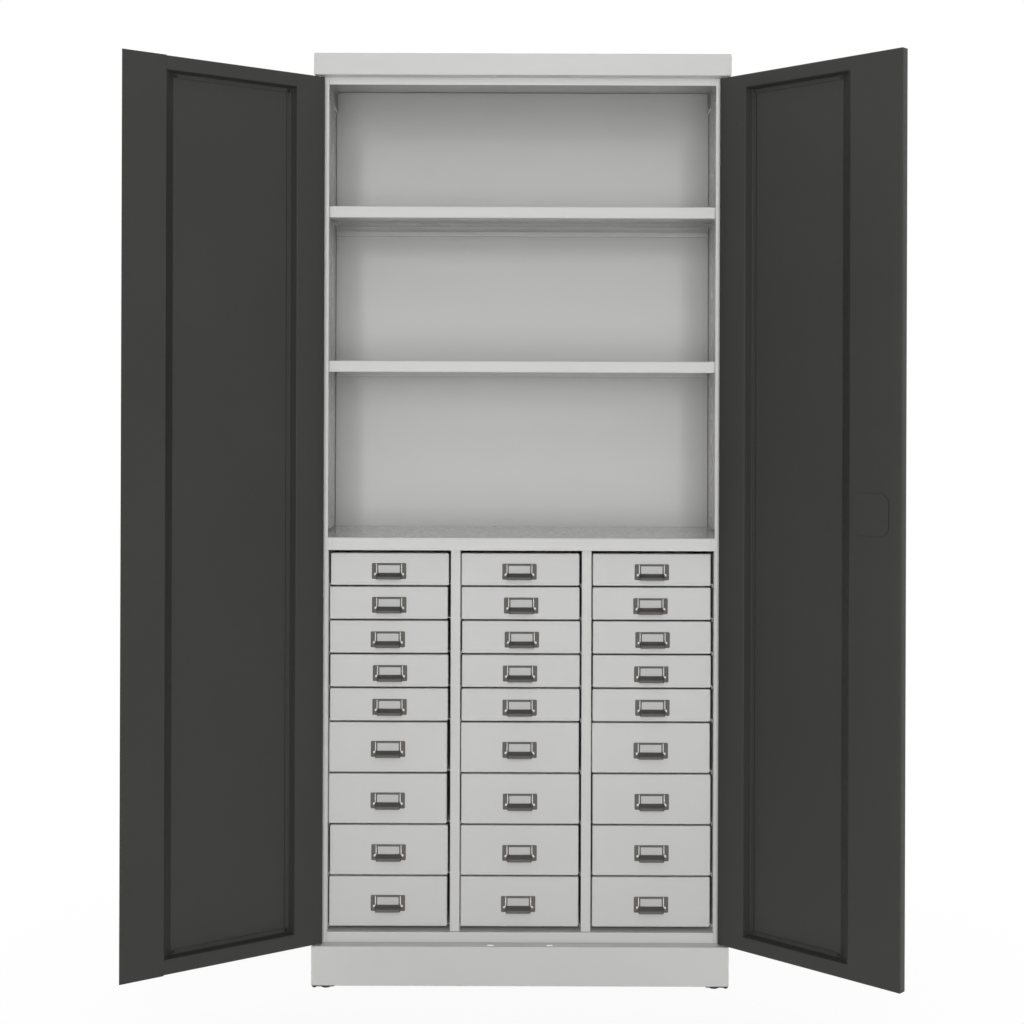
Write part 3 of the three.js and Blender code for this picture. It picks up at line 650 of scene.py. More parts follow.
class Finish(Nodes):
    """Node tree of one material with its principled shader."""

    def __init__(self, name):
        self.material = bpy.data.materials.new(name)
        self.material.use_nodes = True
        super().__init__(self.material.node_tree)
        self.shader = self.tree.nodes["Principled BSDF"]
        self.coordinates = self.new("ShaderNodeTexCoord").outputs["Object"]

    def noise(self, width, detail, roughness=0.5):
        """Noise whose blotches are about that wide, in metres."""
        return self.joined("ShaderNodeTexNoise", self.coordinates, Scale=1.0 / width,
                           Detail=detail, Roughness=roughness)

    def spread(self, factor, low, high, start=NOISE_LOW, end=NOISE_HIGH):
        """A number that goes from low to high as the factor goes from start to end."""
        ranges = {"From Min": start, "From Max": end, "To Min": low, "To Max": high}
        return self.joined("ShaderNodeMapRange", factor, **ranges)

    def tint(self, factor, colour, change):
        """Colour that goes from darker to lighter by the change, as the factor goes."""
        ramp = self.new("ShaderNodeValToRGB")
        steps = ((NOISE_LOW, 1 - change), (NOISE_HIGH, 1 + change))
        for element, (position, scale) in zip(ramp.color_ramp.elements, steps):
            element.color = (*np.clip(np.array(colour) * scale, 0, 1), 1.0)
            element.position = position
        self.link(factor, ramp.inputs["Fac"])
        return ramp.outputs["Color"]

    def bump(self, height, distance, below=None):
        """Bump of that full height in metres, laid over another bump's normal."""
        node = self.new("ShaderNodeBump", Strength=1.0, Distance=distance)
        self.link(height, node.inputs["Height"])
        if below is not None:
            self.link(below, node.inputs["Normal"])
        return node.outputs["Normal"]

    def shade(self, colour, normal, roughness=None):
        """Joins colour, normal and roughness to the shader."""
        outputs = {"Base Color": colour, "Normal": normal, "Roughness": roughness}
        for name, output in outputs.items():
            if output is not None:
                self.link(output, self.shader.inputs[name])

    def set(self, **values):
        """Constants on the shader's own sockets."""
        for key, value in values.items():
            self.shader.inputs[key.replace("_", " ")].default_value = value


def powder_paint(name, colour, grain, height, roughness, change, gloss):
    """Powder paint: orange peel in two sizes, faint clouding, and roughness that varies."""
    cloud_width, patch_width, patch_change = 0.21, 0.012, 0.05
    fine_width, fine_height = grain / 3, height * 0.4
    finish = Finish(name)
    peel = finish.bump(finish.noise(grain, 2.0), height)
    finish.shade(finish.tint(finish.noise(cloud_width, 3.0), colour, change),
                 finish.bump(finish.noise(fine_width, 2.0), fine_height, peel),
                 finish.spread(finish.noise(patch_width, 2.0), roughness - patch_change,
                               roughness + patch_change))
    finish.set(Specular_IOR_Level=gloss)


def plated_steel(name, colour, roughness, change):
    """Plated steel: metallic, with fine drawn streaks and slightly uneven gloss."""
    streak_scale, streak_height, patch_width = (60.0, 400.0, 1800.0), 0.000004, 0.003
    smoother, rougher = roughness - 0.06, roughness + 0.08
    finish = Finish(name)
    stretched = finish.joined("ShaderNodeMapping", finish.coordinates, Scale=streak_scale)
    streak = finish.joined("ShaderNodeTexNoise", stretched, Scale=1.0, Detail=3.0)
    finish.shade(finish.tint(streak, colour, change), finish.bump(streak, streak_height),
                 finish.spread(finish.noise(patch_width, 3.0), smoother, rougher))
    finish.set(Metallic=1.0)


def label_card(name, colour):
    """Card: soft fibres in colour and bump."""
    fibre_width, fibre_height, change = 0.0006, 0.00002, 0.03
    finish = Finish(name)
    fibres = finish.noise(fibre_width, 4.0, 0.7)
    finish.shade(finish.tint(fibres, colour, change), finish.bump(fibres, fibre_height))
    finish.set(Roughness=0.75)


def moulded_plastic(name, colour):
    """Moulded plastic: a fine spark texture and a soft gloss."""
    spark_width, spark_height, change = 0.0007, 0.00003, 0.12
    finish = Finish(name)
    spark = finish.noise(spark_width, 3.0)
    finish.shade(finish.tint(spark, colour, change), finish.bump(spark, spark_height),
                 finish.spread(spark, 0.42, 0.58))


# Paints: colour, shares of the grain's width and height, roughness, clouding and gloss
PAINTS = {
    "body_powder_paint": ("body", 1.0, 0.5, 0.14, 0.012, 0.5),
    "drawer_powder_paint": ("drawer", 1.0, 0.6, 0.36, 0.010, 0.15),
    "door_powder_paint": ("door", 0.8, 2.0, 0.45, 0.05, 0.35),
}

# Platings: colour, roughness and how much the streaks change the colour
PLATINGS = {
    "dark_nickel_plate": ("nickel", 0.44, 0.12),
    # The lighter nickel of ribs and rivets paints their highlights into their colour
    "bright_nickel_plate": ("bright", 0.22, 0.05),
    "zinc_plate": ("zinc", 0.34, 0.06),
}


class CABINET_OT_finishes(bpy.types.Operator):
    """Make the powder paints, platings, card and plastic"""

    bl_idname = "cabinet.finishes"
    bl_label = "Finishes"

    def execute(self, context):
        look = context.scene.cabinet_finishes
        for name, (colour_name, width, height, *surface) in PAINTS.items():
            powder_paint(name, getattr(look, colour_name), look.grain * width,
                         look.grain_height * height, *surface)
        for name, (colour_name, *surface) in PLATINGS.items():
            plated_steel(name, getattr(look, colour_name), *surface)
        label_card("label_card", look.card)
        moulded_plastic("black_plastic", look.black)
        return {"FINISHED"}


# Shell


# How far a cutter reaches past the sheet that it cuts, in metres
SHORT_CUT, LONG_CUT, FREE_CUT = 0.002, 0.004, 0.01

# Inset at which the section of a large pan ends on its flat face
FACE_START = 0.012

# Radius inside the folds of small angles and clips
SMALL_BEND = 0.0004

# Points along a half circle of a slot or hole
ROUND_STEPS, UPRIGHT_SLOT_STEPS = 9, 7


def lying(level, way=1.0):
    """Turns (across, back, depth) into row-frame points over the level, or under it."""
    return lambda loops: loops * (1.0, 1.0, way) + (0.0, 0.0, level)


def standing(front):
    """Turns (across, up, depth) into row-frame points behind the front plane."""
    return lambda loops: np.stack([loops[..., 0], front + loops[..., 2], loops[..., 1]], axis=-1)


def facing_front(x, y, z):
    """Turns (across, up, height) into row-frame points that rise to the front from there."""
    return lambda loops: np.stack([x + loops[..., 0], y - loops[..., 2], z + loops[..., 1]],
                                  axis=-1)


def body_piece(name, form, nodes=(), cutters=()):
    """Paints one piece of the body, less its cutters, in place of those CAD nodes."""
    shape = cut_out(name, form, *cutters) if cutters else form
    return finish_piece(name, shape, "body_powder_paint", "cabinet", nodes,
                        sheet_sizes().edge)


def strike_cutters(z):
    """Slots for the lock's rods, cut through a level sheet."""
    sizes = sheet_sizes()
    door_setback = 0.002
    y = FRONT_Y + door_setback + bpy.context.scene.cabinet_doors.pivot_from_face
    cutter = Form()
    for side in SIDES.values():
        outline = slot_outline((MIDDLE_X + side * sizes.strike_offset, y),
                               sizes.strike_length / 2, sizes.strike_width / 2, ROUND_STEPS)
        slab(cutter, outline, z - LONG_CUT, z + LONG_CUT, "Z")
    return cutter


class CABINET_OT_cap(bpy.types.Operator):
    """Build the cap: a folded pan with a deep front flange, two slots and a header behind"""

    bl_idname = "cabinet.cap"
    bl_label = "Cap"

    def execute(self, context):
        sizes, sheet = sheet_sizes(), sheet_sizes().sheet
        low, high = node_box("left_side_panel")
        flange = low[1] - FRONT_Y
        height = sizes.cap_height
        bottom = CAP_HIGH[2] - height
        section = [(flange - sizes.gap, height - sheet / 2), (sheet / 2, height - sheet / 2),
                   (sheet / 2, sheet / 2), (FACE_START, sheet / 2)]
        slim = 0.02
        shares = [[slim, slim, 1.0, slim], [1.0, 1.0, 1.0, 1.0]]
        form = Form()
        folded_pan(form, CAP_LOW[:2], CAP_HIGH[:2], section, shares, sizes.cap_corner,
                   place=lying(CAP_HIGH[2], -1.0), **fold_keys())
        body_piece("cap_shell", form, ["top_cap"], [strike_cutters(bottom)])
        header, header_lip = Form(), 0.012
        start = high[0] + sizes.gap
        y = FRONT_Y + flange + sheet / 2
        level = bottom + sheet * 1.5 + sizes.gap
        folded_strip(header, [(y - header_lip, level), (y, level), (y, CAP_LOW[2])], start,
                     2 * MIDDLE_X - start, "X", **fold_keys())
        body_piece("cap_header", header)
        return {"FINISHED"}


FEET = ("front_left_foot", "front_right_foot", "rear_left_foot", "rear_right_foot")


def foot_plan(node):
    """Centre of a foot's stem, and the ways from there to the plinth's corner."""
    sizes = sheet_sizes()
    low, high = node_box("plinth")
    way = np.array([-1.0 if "left" in node else 1.0, -1.0 if "front" in node else 1.0])
    corner = np.where(way < 0.0, low[:2], high[:2])
    return corner - way * (sizes.foot_side, sizes.foot_front), way


class CABINET_OT_plinth(bpy.types.Operator):
    """Build the plinth: a ring with a ledge on top, flanges below, lock slots and stem holes"""

    bl_idname = "cabinet.plinth"
    bl_label = "Plinth"

    def execute(self, context):
        sizes, sheet = sheet_sizes(), sheet_sizes().sheet
        low, high = node_box("plinth")
        height = high[2] - low[2]
        section = [(sizes.plinth_bottom_flange, height - sheet / 2),
                   (sheet / 2, height - sheet / 2), (sheet / 2, sheet / 2),
                   (sizes.plinth_ledge, sheet / 2)]
        side = sizes.plinth_top_flange / sizes.plinth_ledge
        shares = [[1.0, 1.0, 1.0, 1.0], [side, side, 1.0, side]]
        form = Form()
        folded_pan(form, low[:2], high[:2], section, shares, sizes.cap_corner,
                   place=lying(high[2], -1.0), ring=True, **fold_keys())
        cutter = strike_cutters(high[2] - sheet / 2)
        hole_reach, hole_radius = 0.0046, 0.0045
        for node in FEET:
            hole = slot_outline(foot_plan(node)[0], hole_reach, hole_radius, ROUND_STEPS)
            slab(cutter, hole, low[2] - SHORT_CUT, low[2] + LONG_CUT, "Z")
        body_piece("plinth_ring", form, ["plinth"], [cutter])
        return {"FINISHED"}


def mirrored_x(form):
    """The same form on the other side of the cabinet's middle."""
    return form.moved(np.diag([-1.0, 1.0, 1.0]), np.array([2 * MIDDLE_X, 0.0, 0.0]))


def on_side(name, form):
    """A form drawn for the right side, or its mirror image for the left."""
    return mirrored_x(form) if name == "left" else form


class CABINET_OT_side_panels(bpy.types.Operator):
    """Build the side panels with their front and rear flanges"""

    bl_idname = "cabinet.side_panels"
    bl_label = "Side panels"

    def execute(self, context):
        sizes, sheet = sheet_sizes(), sheet_sizes().sheet
        low, high = node_box("right_side_panel")
        wall, front, back = high[0] - sheet / 2, low[1] + sheet / 2, high[1] - sheet / 2
        section = [(low[0], front), (wall, front), (wall, back),
                   (high[0] - sizes.rear_flange, back)]
        for name in SIDES:
            form = Form()
            folded_strip(form, section, low[2], high[2], "Z", **fold_keys())
            body_piece(f"{name}_side_wall", on_side(name, form), [f"{name}_side_panel"])
        return {"FINISHED"}


def upright_span():
    """Lowest and highest level of the uprights, which end just clear of the unit's top."""
    sizes, unit_top = bpy.context.scene.cabinet_uprights, node_box("drawer_unit_top")[1][2]
    return unit_top + sizes.foot_gap, node_box("right_side_panel")[1][2] - sizes.head_gap


class CABINET_OT_uprights(bpy.types.Operator):
    """Build the slotted uprights inside the side panels"""

    bl_idname = "cabinet.uprights"
    bl_label = "Uprights"

    def execute(self, context):
        sizes, sheet = context.scene.cabinet_uprights, sheet_sizes().sheet
        root = node_box("right_side_panel")[1][0] - sheet - sheet_sizes().gap
        face = root + sheet_sizes().gap - sizes.stand_off + sheet / 2
        bottom, top = upright_span()
        top_share = 1.1
        first = bottom - sizes.foot_gap + sizes.end_margin
        last = top - sizes.end_margin / top_share
        for place, offset in (("front", sizes.front_place), ("rear", sizes.rear_place)):
            y0 = FRONT_Y + offset
            y1 = y0 + sizes.width
            section = [(root, y0 + sheet / 2), (face, y0 + sheet / 2), (face, y1 - sheet / 2),
                       (root, y1 - sheet / 2)]
            form, cutter = Form(), Form()
            folded_strip(form, section, bottom, top, "Z", **fold_keys())
            for level in np.arange(first, last, sizes.slot_pitch):
                outline = slot_outline((level, (y0 + y1) / 2), sizes.slot_height / 2,
                                       sizes.slot_width / 2, UPRIGHT_SLOT_STEPS)
                slab(cutter, outline[:, ::-1], face - LONG_CUT, face + SHORT_CUT, "X")
            for name in SIDES:
                body_piece(f"{name}_{place}_upright", on_side(name, form),
                           cutters=[on_side(name, cutter)])
        return {"FINISHED"}


class CABINET_OT_shelf_clips(bpy.types.Operator):
    """Build the hooked clips that carry the shelves"""

    bl_idname = "cabinet.shelf_clips"
    bl_label = "Shelf clips"

    def execute(self, context):
        sizes, sheet = context.scene.cabinet_uprights, sheet_sizes().sheet
        face = node_box("right_side_panel")[1][0] - sheet - sizes.stand_off
        tip, leg = face - sizes.clip_reach, face - sizes.clip_sheet / 2
        tip_length, tip_drop, edge = 0.002, 0.0022, 0.0003
        for name in SIDES:
            form = Form()
            for node in ("lower_shelf", "upper_shelf"):
                seat = node_box(node)[1][2] - sheet - sheet_sizes().gap - sizes.clip_sheet / 2
                section = [(tip, seat - tip_drop), (tip + tip_length, seat), (leg, seat),
                           (leg, seat - sizes.clip_drop)]
                for offset in (sizes.front_place, sizes.rear_place):
                    middle = FRONT_Y + offset + sizes.width / 2
                    folded_strip(form, section, middle - sizes.clip_width / 2,
                                 middle + sizes.clip_width / 2, "Y", sheet=sizes.clip_sheet,
                                 bend=SMALL_BEND, steps=4)
            finish_piece(f"{name}_shelf_clips", on_side(name, form), "zinc_plate", "cabinet",
                         edge=edge)
        return {"FINISHED"}


class CABINET_OT_back_panel(bpy.types.Operator):
    """Build the back panel: a shallow pan whose rim stands to the rear"""

    bl_idname = "cabinet.back_panel"
    bl_label = "Back panel"

    def execute(self, context):
        sizes, sheet = sheet_sizes(), sheet_sizes().sheet
        low, high = node_box("back_panel")
        rim_depth, face_start, corner = 0.009, 0.01, 0.002
        section = [(sheet / 2, rim_depth), (sheet / 2, sheet / 2), (face_start, sheet / 2)]
        form, cutter = Form(), Form()
        folded_pan(form, (low[0], low[2]), (high[0], high[2]), section, np.ones(4), corner,
                   place=standing(low[1]), **fold_keys())
        block(cutter, (high[0] - sizes.notch_width, low[1] - FREE_CUT,
                       high[2] - sizes.notch_height), high + FREE_CUT)
        body_piece("back_sheet", form, ["back_panel"], [cutter.join(mirrored_x(cutter))])
        return {"FINISHED"}


def notch_cutter(low, high):
    """Bars that cut the front corners away, where the side panels' flanges stand."""
    sizes = sheet_sizes()
    inner = node_box("right_side_panel")[0]
    back = inner[1] + sizes.sheet + sizes.gap
    cutter = Form()
    block(cutter, (inner[0] - sizes.gap, low[1] - FREE_CUT, low[2] - FREE_CUT),
          (high[0] + FREE_CUT, back, high[2] + FREE_CUT))
    return cutter.join(mirrored_x(cutter))


class CABINET_OT_floor_panel(bpy.types.Operator):
    """Build the floor panel with its front and rear lips"""

    bl_idname = "cabinet.floor_panel"
    bl_label = "Floor panel"

    def execute(self, context):
        half = sheet_sizes().sheet / 2
        low, high = node_box("floor_panel")
        front, back, level = low[1] + half, high[1] - half, high[2] - half
        form = Form()
        folded_strip(form, [(front, low[2]), (front, level), (back, level), (back, low[2])],
                     low[0], high[0], "X", **fold_keys())
        body_piece("floor_sheet", form, ["floor_panel"], [notch_cutter(low, high)])
        return {"FINISHED"}


class CABINET_OT_unit_top(bpy.types.Operator):
    """Build the unit's top: a sheet between the flanges whose lip laps over them"""

    bl_idname = "cabinet.unit_top"
    bl_label = "Drawer unit top"

    def execute(self, context):
        sizes, sheet = sheet_sizes(), sheet_sizes().sheet
        low, high = node_box("drawer_unit_top")
        flange = node_box("right_side_panel")[0]
        inner = flange[0] - sizes.gap
        lap = flange[0] + sizes.lap_reach
        main = lap - sizes.lap_width
        back = flange[1] + sheet + sizes.gap
        corners = [(low[1] + sheet / 2, low[2]), (low[1] + sheet / 2, high[2] - sheet / 2),
                   (high[1], high[2] - sheet / 2)]
        # The step's rise, as places beside the middle part's end and shares of the full step
        rise = ((0.0016, 0.0), (0.0009, 0.2), (0.0003, 0.7), (-0.0006, 1.0))
        ends = [(high[0], 0.0)] + [(main + way, sizes.lap_step * share) for way, share in rise]
        mirrored = [(2 * MIDDLE_X - place, step) for place, step in ends]
        step_reach = 0.018
        form = Form()
        stepped_strip(form, corners, mirrored + ends[::-1], step_reach, **fold_keys())
        front, bottom, top = low[1] - FREE_CUT, low[2] - FREE_CUT, high[2] + FREE_CUT
        starts = ((lap, front, bottom), (inner, low[1] + sheet + sizes.gap / 2, bottom),
                  (inner, front, high[2] - sheet))
        cutters = [block(Form(), start, (high[0] + FREE_CUT, back, top)) for start in starts]
        body_piece("unit_top_sheet", form, ["drawer_unit_top"],
                   [cutter.join(mirrored_x(cutter)) for cutter in cutters])
        return {"FINISHED"}


class CABINET_OT_shelves(bpy.types.Operator):
    """Build the shelves: both long edges folded down, inwards and up again"""

    bl_idname = "cabinet.shelves"
    bl_label = "Shelves"

    def execute(self, context):
        sizes, half = sheet_sizes(), sheet_sizes().sheet / 2
        for node in ("lower_shelf", "upper_shelf"):
            low, high = node_box(node)
            turn, hem = sizes.shelf_return - half, low[2] + sizes.shelf_hem
            corners = [
                (low[1] + turn, hem), (low[1] + turn, low[2] + half),
                (low[1] + half, low[2] + half), (low[1] + half, high[2] - half),
                (high[1] - half, high[2] - half), (high[1] - half, low[2] + half),
                (high[1] - turn, low[2] + half), (high[1] - turn, hem),
            ]
            form = Form()
            folded_strip(form, corners, low[0], high[0], "X", **fold_keys())
            body_piece(f"{node}_sheet", form, [node])
        return {"FINISHED"}


# Drawer unit


def runner_levels():
    """Level of each runner ledge: just under its row's trays."""
    sizes = sheet_sizes()
    lift = sizes.tray_lift - sizes.gap - sizes.sheet / 2
    return [node_box(f"drawer_a{row}")[0][2] + lift for row in ROWS]


def runner_ledges(form, web, way):
    """Angle runners on a web: a ledge under the tray and a leg against the web."""
    sizes, drawers = sheet_sizes(), bpy.context.scene.cabinet_drawers
    front_gap, rear_gap = 0.002, 0.006
    front = node_box("drawer_a1")[0][1] + drawers.cup_reach + drawers.front_return + front_gap
    back = node_box("left_divider")[1][1] - rear_gap
    leg = web + way * sizes.sheet / 2
    for level in runner_levels():
        section = [(web + way * sizes.runner_reach, level), (leg, level),
                   (leg, level - sizes.runner_leg)]
        folded_strip(form, section, front, back, "Y", **fold_keys(SMALL_BEND))
    return form


class CABINET_OT_dividers(bpy.types.Operator):
    """Build the dividers: channels with a runner on both sides for each row"""

    bl_idname = "cabinet.dividers"
    bl_label = "Dividers"

    def execute(self, context):
        sizes, sheet = sheet_sizes(), sheet_sizes().sheet
        half = sizes.divider_width / 2
        for name in SIDES:
            low, high = node_box(f"{name}_divider")
            middle = (low[0] + high[0]) / 2
            front = low[1] + sheet / 2
            left, right = middle - half + sheet / 2, middle + half - sheet / 2
            form = Form()
            folded_strip(form, [(left, high[1]), (left, front), (right, front), (right, high[1])],
                         low[2], high[2], "Z", **fold_keys())
            runner_ledges(form, middle - half, -1.0)
            runner_ledges(form, middle + half, 1.0)
            body_piece(f"{name}_divider_channel", form, [f"{name}_divider"])
        return {"FINISHED"}


class CABINET_OT_runner_panels(bpy.types.Operator):
    """Build the panels that carry the outer runners"""

    bl_idname = "cabinet.runner_panels"
    bl_label = "Runner panels"

    def execute(self, context):
        half = sheet_sizes().sheet / 2
        low, high = node_box("right_runner_panel")
        drawer_gap = 0.0045
        inner = max(node_box("drawer_c1")[1][0], MIDDLE_X) + drawer_gap
        front, back = low[1] + half, high[1] - half
        section = [(high[0], front), (inner + half, front), (inner + half, back),
                   (high[0], back)]
        form = Form()
        folded_strip(form, section, low[2], high[2], "Z", **fold_keys())
        runner_ledges(form, inner, -1.0)
        for name in SIDES:
            body_piece(f"{name}_runner_wall", on_side(name, form), [f"{name}_runner_panel"])
        return {"FINISHED"}


# Drawers


def drawer_names():
    """Names of the drawers' CAD nodes, row after row."""
    return [f"drawer_{column}{row}" for row in ROWS for column in COLUMNS]


# How far each drawer's front and its pull stand to the side of the middle of its CAD box, and
# its pull above that middle, in millimetres, as measured in the photo: for each column, the
# rows from the bottom
SEEN_PLACES = {
    "a": ((-2.7, -2.9, -2.8), (-1.6, -1.9, -4.2), (-4.0, -3.9, -3.4), (-3.6, -3.6, -3.0),
          (-2.4, -0.9, -4.2), (-2.0, -0.3, -4.4), (-2.8, -4.7, -4.8), (-3.2, -2.2, -3.6),
          (-1.2, -2.7, -3.8)),
    "b": ((-1.5, -3.9, -4.2), (-1.5, -1.6, -4.8), (-0.8, -0.9, -5.0), (-1.6, -2.1, -4.2),
          (-0.7, -2.2, -5.0), (-0.3, -1.7, -4.6), (-0.1, 1.6, -4.6), (-1.2, 0.1, -4.2),
          (-1.6, -3.4, -4.2)),
    "c": ((-0.1, 0.2, -4.6), (0.6, 0.8, -4.4), (0.6, 1.0, -4.6), (-1.0, -1.3, -4.8),
          (0.0, 1.6, -4.4), (0.5, -0.8, -5.2), (0.3, 1.6, -4.4), (-0.4, -2.6, -4.6),
          (-0.4, -0.3, -4.4)),
}


def drawer_places(node):
    """Places of a drawer's front, at the middle of its lower edge, and of its pull's middle."""
    low, high = node_box(node)
    front, pull, rise = (value / 1000 for value in SEEN_PLACES[node[-2]][int(node[-1]) - 1])
    x, z = (low[0] + high[0]) / 2, (low[2] + high[2]) / 2
    y = low[1] + bpy.context.scene.cabinet_drawers.cup_reach
    return np.array([x + front, y, low[2]]), np.array([x + pull, y, z + rise])


def drawer_form(width, height):
    """Folded front with a slight crown, on the middle of its lower edge, and its tray behind."""
    sizes, sheet = bpy.context.scene.cabinet_drawers, sheet_sizes().sheet
    half, crown, bottom = width / 2, sizes.crown, sheet_sizes().tray_lift
    rim_inset, rim_share, flat_inset = 0.0085, 0.3, 0.020
    section = [(sheet / 2, sizes.front_return), (sheet / 2, sheet / 2 + crown),
               (rim_inset, sheet / 2 + crown * rim_share), (flat_inset, sheet / 2)]
    form = Form()
    folded_pan(form, (-half, 0.0), (half, height), section, np.ones(4), sizes.front_corner,
               place=standing(0.0), **fold_keys(sizes.front_bend))
    side = half - sizes.tray_inset
    tray_gap, tray_corner, face_start = 0.0004, 0.002, 0.006
    depth = height - sizes.tray_drop - bottom
    folded_pan(form, (-side, sheet + crown + tray_gap), (side, sizes.tray_depth),
               [(sheet / 2, depth), (sheet / 2, sheet / 2), (face_start, sheet / 2)],
               np.ones(4), tray_corner, place=lying(bottom), **fold_keys())
    return form


class CABINET_OT_drawers(bpy.types.Operator):
    """Build the drawers: a folded front and a tray each"""

    bl_idname = "cabinet.drawers"
    bl_label = "Drawers"

    def execute(self, context):
        for node in drawer_names():
            low, high = node_box(node)
            form = drawer_form(context.scene.cabinet_drawers.width, high[2] - low[2])
            finish_piece(f"{node}_box", form.moved(np.eye(3), drawer_places(node)[0]),
                         "drawer_powder_paint", f"{node}_body", [node],
                         sheet_sizes().edge)
        return {"FINISHED"}


# Pulls


def frame_plate(form, sizes):
    """Plate with a window: rounded rectangles from the back, over both rounded rims, and back."""
    half, rise, window = sizes.pull_width / 2, sizes.pull_height / 2, sizes.window_width / 2
    window_top = rise - sizes.window_drop
    window_corner, least_corner, corner_steps = 0.0006, 0.0002, 4
    outer = ((-half, -rise), (half, rise), sizes.plate_corner)
    inner = ((-window, window_top - sizes.window_height), (window, window_top), window_corner)
    soft, bulge = sizes.plate * 0.45, 0.3
    steps = [(outer, 0.0, 0.0), (outer, 0.0, -sizes.plate + soft),
             (outer, soft * bulge, -sizes.plate + soft * bulge), (outer, soft, -sizes.plate),
             (inner, -soft, -sizes.plate), (inner, -soft * bulge, -sizes.plate + soft * bulge),
             (inner, 0.0, -sizes.plate + soft), (inner, 0.0, 0.0)]
    loops = []
    for (low, high, radius), inset, y in steps:
        flat = rounded_rectangle((low[0] + inset, low[1] + inset),
                                 (high[0] - inset, high[1] - inset),
                                 max(radius - inset, least_corner), corner_steps)
        loops.append(np.stack([flat[:, 0], np.full(len(flat), y), flat[:, 1]], axis=1))
    return lofted(form, loops, closed_ring=True)


def finger_cup(form, sizes):
    """Finger cup, as a grid of two parameters: across the pull, and over its hood.

    Over the hood runs a folded line, from the plate down a slope and then down the upright
    front, with a rounded fold. Its reach shrinks to nothing at the sides as a superellipse, one
    less the tenth power of the share across, to the power one tenth, so the ends close against
    the plate. The same grid with the wall taken off makes the inside, and both meet at the lip.
    """
    power, columns = 10.0, 41
    across = np.sin(np.linspace(-math.pi / 2, math.pi / 2, columns))
    narrowing = (1.0 - np.abs(across) ** power) ** (1.0 / power)
    bottom, root = -sizes.pull_height / 2, sizes.plate * 0.4
    lean, foot, fold, fold_steps = 0.0012, 0.0003, 0.0016, 6

    def hood(half, reach, crest, lip):
        line = bent_line([(root, crest), (reach - lean, lip), (reach, foot)], fold, fold_steps)
        x = half * np.broadcast_to(across, (len(line), len(across)))
        y = -root - (line[:, :1] - root) * narrowing
        z = bottom + np.broadcast_to(line[:, 1:], x.shape)
        return np.stack([x, y, z], axis=-1)

    wall = sizes.cup_wall
    outside = hood(sizes.cup_width / 2, sizes.cup_reach, sizes.cup_height, sizes.cup_lip)
    inside = hood(sizes.cup_width / 2 - wall, sizes.cup_reach - wall,
                  sizes.cup_height - wall, sizes.cup_lip - wall / 2)
    return lofted(form, np.concatenate([outside, inside[:, ::-1]], axis=1))


def bead(form, start, end, half_width, height, base):
    """Half-round bead between two points of a plate, with ends that fade into it.

    Along it the height is a power of the sine of the share of its length, and across it the
    outline is half a circle, flattened to the height.
    """
    rows, columns, fading, least_width = 13, 9, 0.25, 0.15
    along = np.linspace(0.0, 1.0, rows)[:, None]
    swell = np.clip(np.sin(math.pi * along), 0.0, 1.0) ** fading
    turn = np.linspace(0.0, math.pi, columns)
    middle = np.asarray(start) + (np.asarray(end) - np.asarray(start)) * along
    x = middle[:, :1] + half_width * np.cos(turn) * np.maximum(swell, least_width)
    y = base - height * np.sin(turn) * swell
    return lofted(form, np.stack(np.broadcast_arrays(x, y, middle[:, 1:]), axis=-1))


def rivet(form, x, z, radius, base):
    """Domed rivet head: radius times cosine, and rise times sine, of the angle over its rim."""
    rings, sides, top_share, rise, root = 6, 16, 0.96, radius * 0.62, -0.0006
    angle = np.linspace(0.0, math.pi / 2 * top_share, rings)
    dome = np.stack([radius * np.cos(angle), rise * np.sin(angle)], axis=1)
    return turned(form, np.vstack([[radius, root], dome]), sides, facing_front(x, base, z))


def pull_form():
    """Plate and finger cup of one pull around its own middle, on the plane of the front."""
    sizes = bpy.context.scene.cabinet_drawers
    return finger_cup(frame_plate(Form(), sizes), sizes)


def pull_ribs_form():
    """The two upright ribs beside the window and the rivets at their feet."""
    sizes = bpy.context.scene.cabinet_drawers
    rim_gap, sink = 0.0002, 0.9
    foot, top = sizes.rivet_height - sizes.pull_height / 2, sizes.pull_height / 2 - rim_gap
    form = Form()
    for side in SIDES.values():
        x = side * sizes.rib_offset
        bead(form, (x, foot), (x, top), sizes.rib_width / 2, sizes.rib_height,
             -sizes.plate * sink)
        rivet(form, side * sizes.rivet_offset, foot, sizes.rivet_radius, -sizes.plate)
    return form


def card_form():
    """Label card: a thin sheet that bows forward by a cosine across its width."""
    sizes = bpy.context.scene.cabinet_drawers
    side_margin, end_margin, bow_height, columns = 0.0015, 0.001, 0.00045, 13
    near, far = -0.0004, -0.0001
    half, rise = sizes.window_width / 2 + side_margin, sizes.window_height / 2 + end_margin
    middle = sizes.pull_height / 2 - sizes.window_drop - sizes.window_height / 2
    across = np.linspace(-half, half, columns)
    bow = bow_height * np.cos(across / half * math.pi / 2)
    low, high = np.full(columns, middle - rise), np.full(columns, middle + rise)
    front, back = [
        np.concatenate([np.stack([across, y - bow, low], axis=1),
                        np.stack([across, y - bow, high], axis=1)[::-1]])
        for y in (near, far)
    ]
    index = np.arange(columns - 1)
    ladder = np.stack([index, index + 1, 2 * columns - 2 - index, 2 * columns - 1 - index], axis=1)
    rim = strip_faces(2, 2 * columns, True)
    return Form().add(np.vstack([front, back]),
                      [ladder, ladder[:, ::-1] + 2 * columns, rim[:, ::-1]])


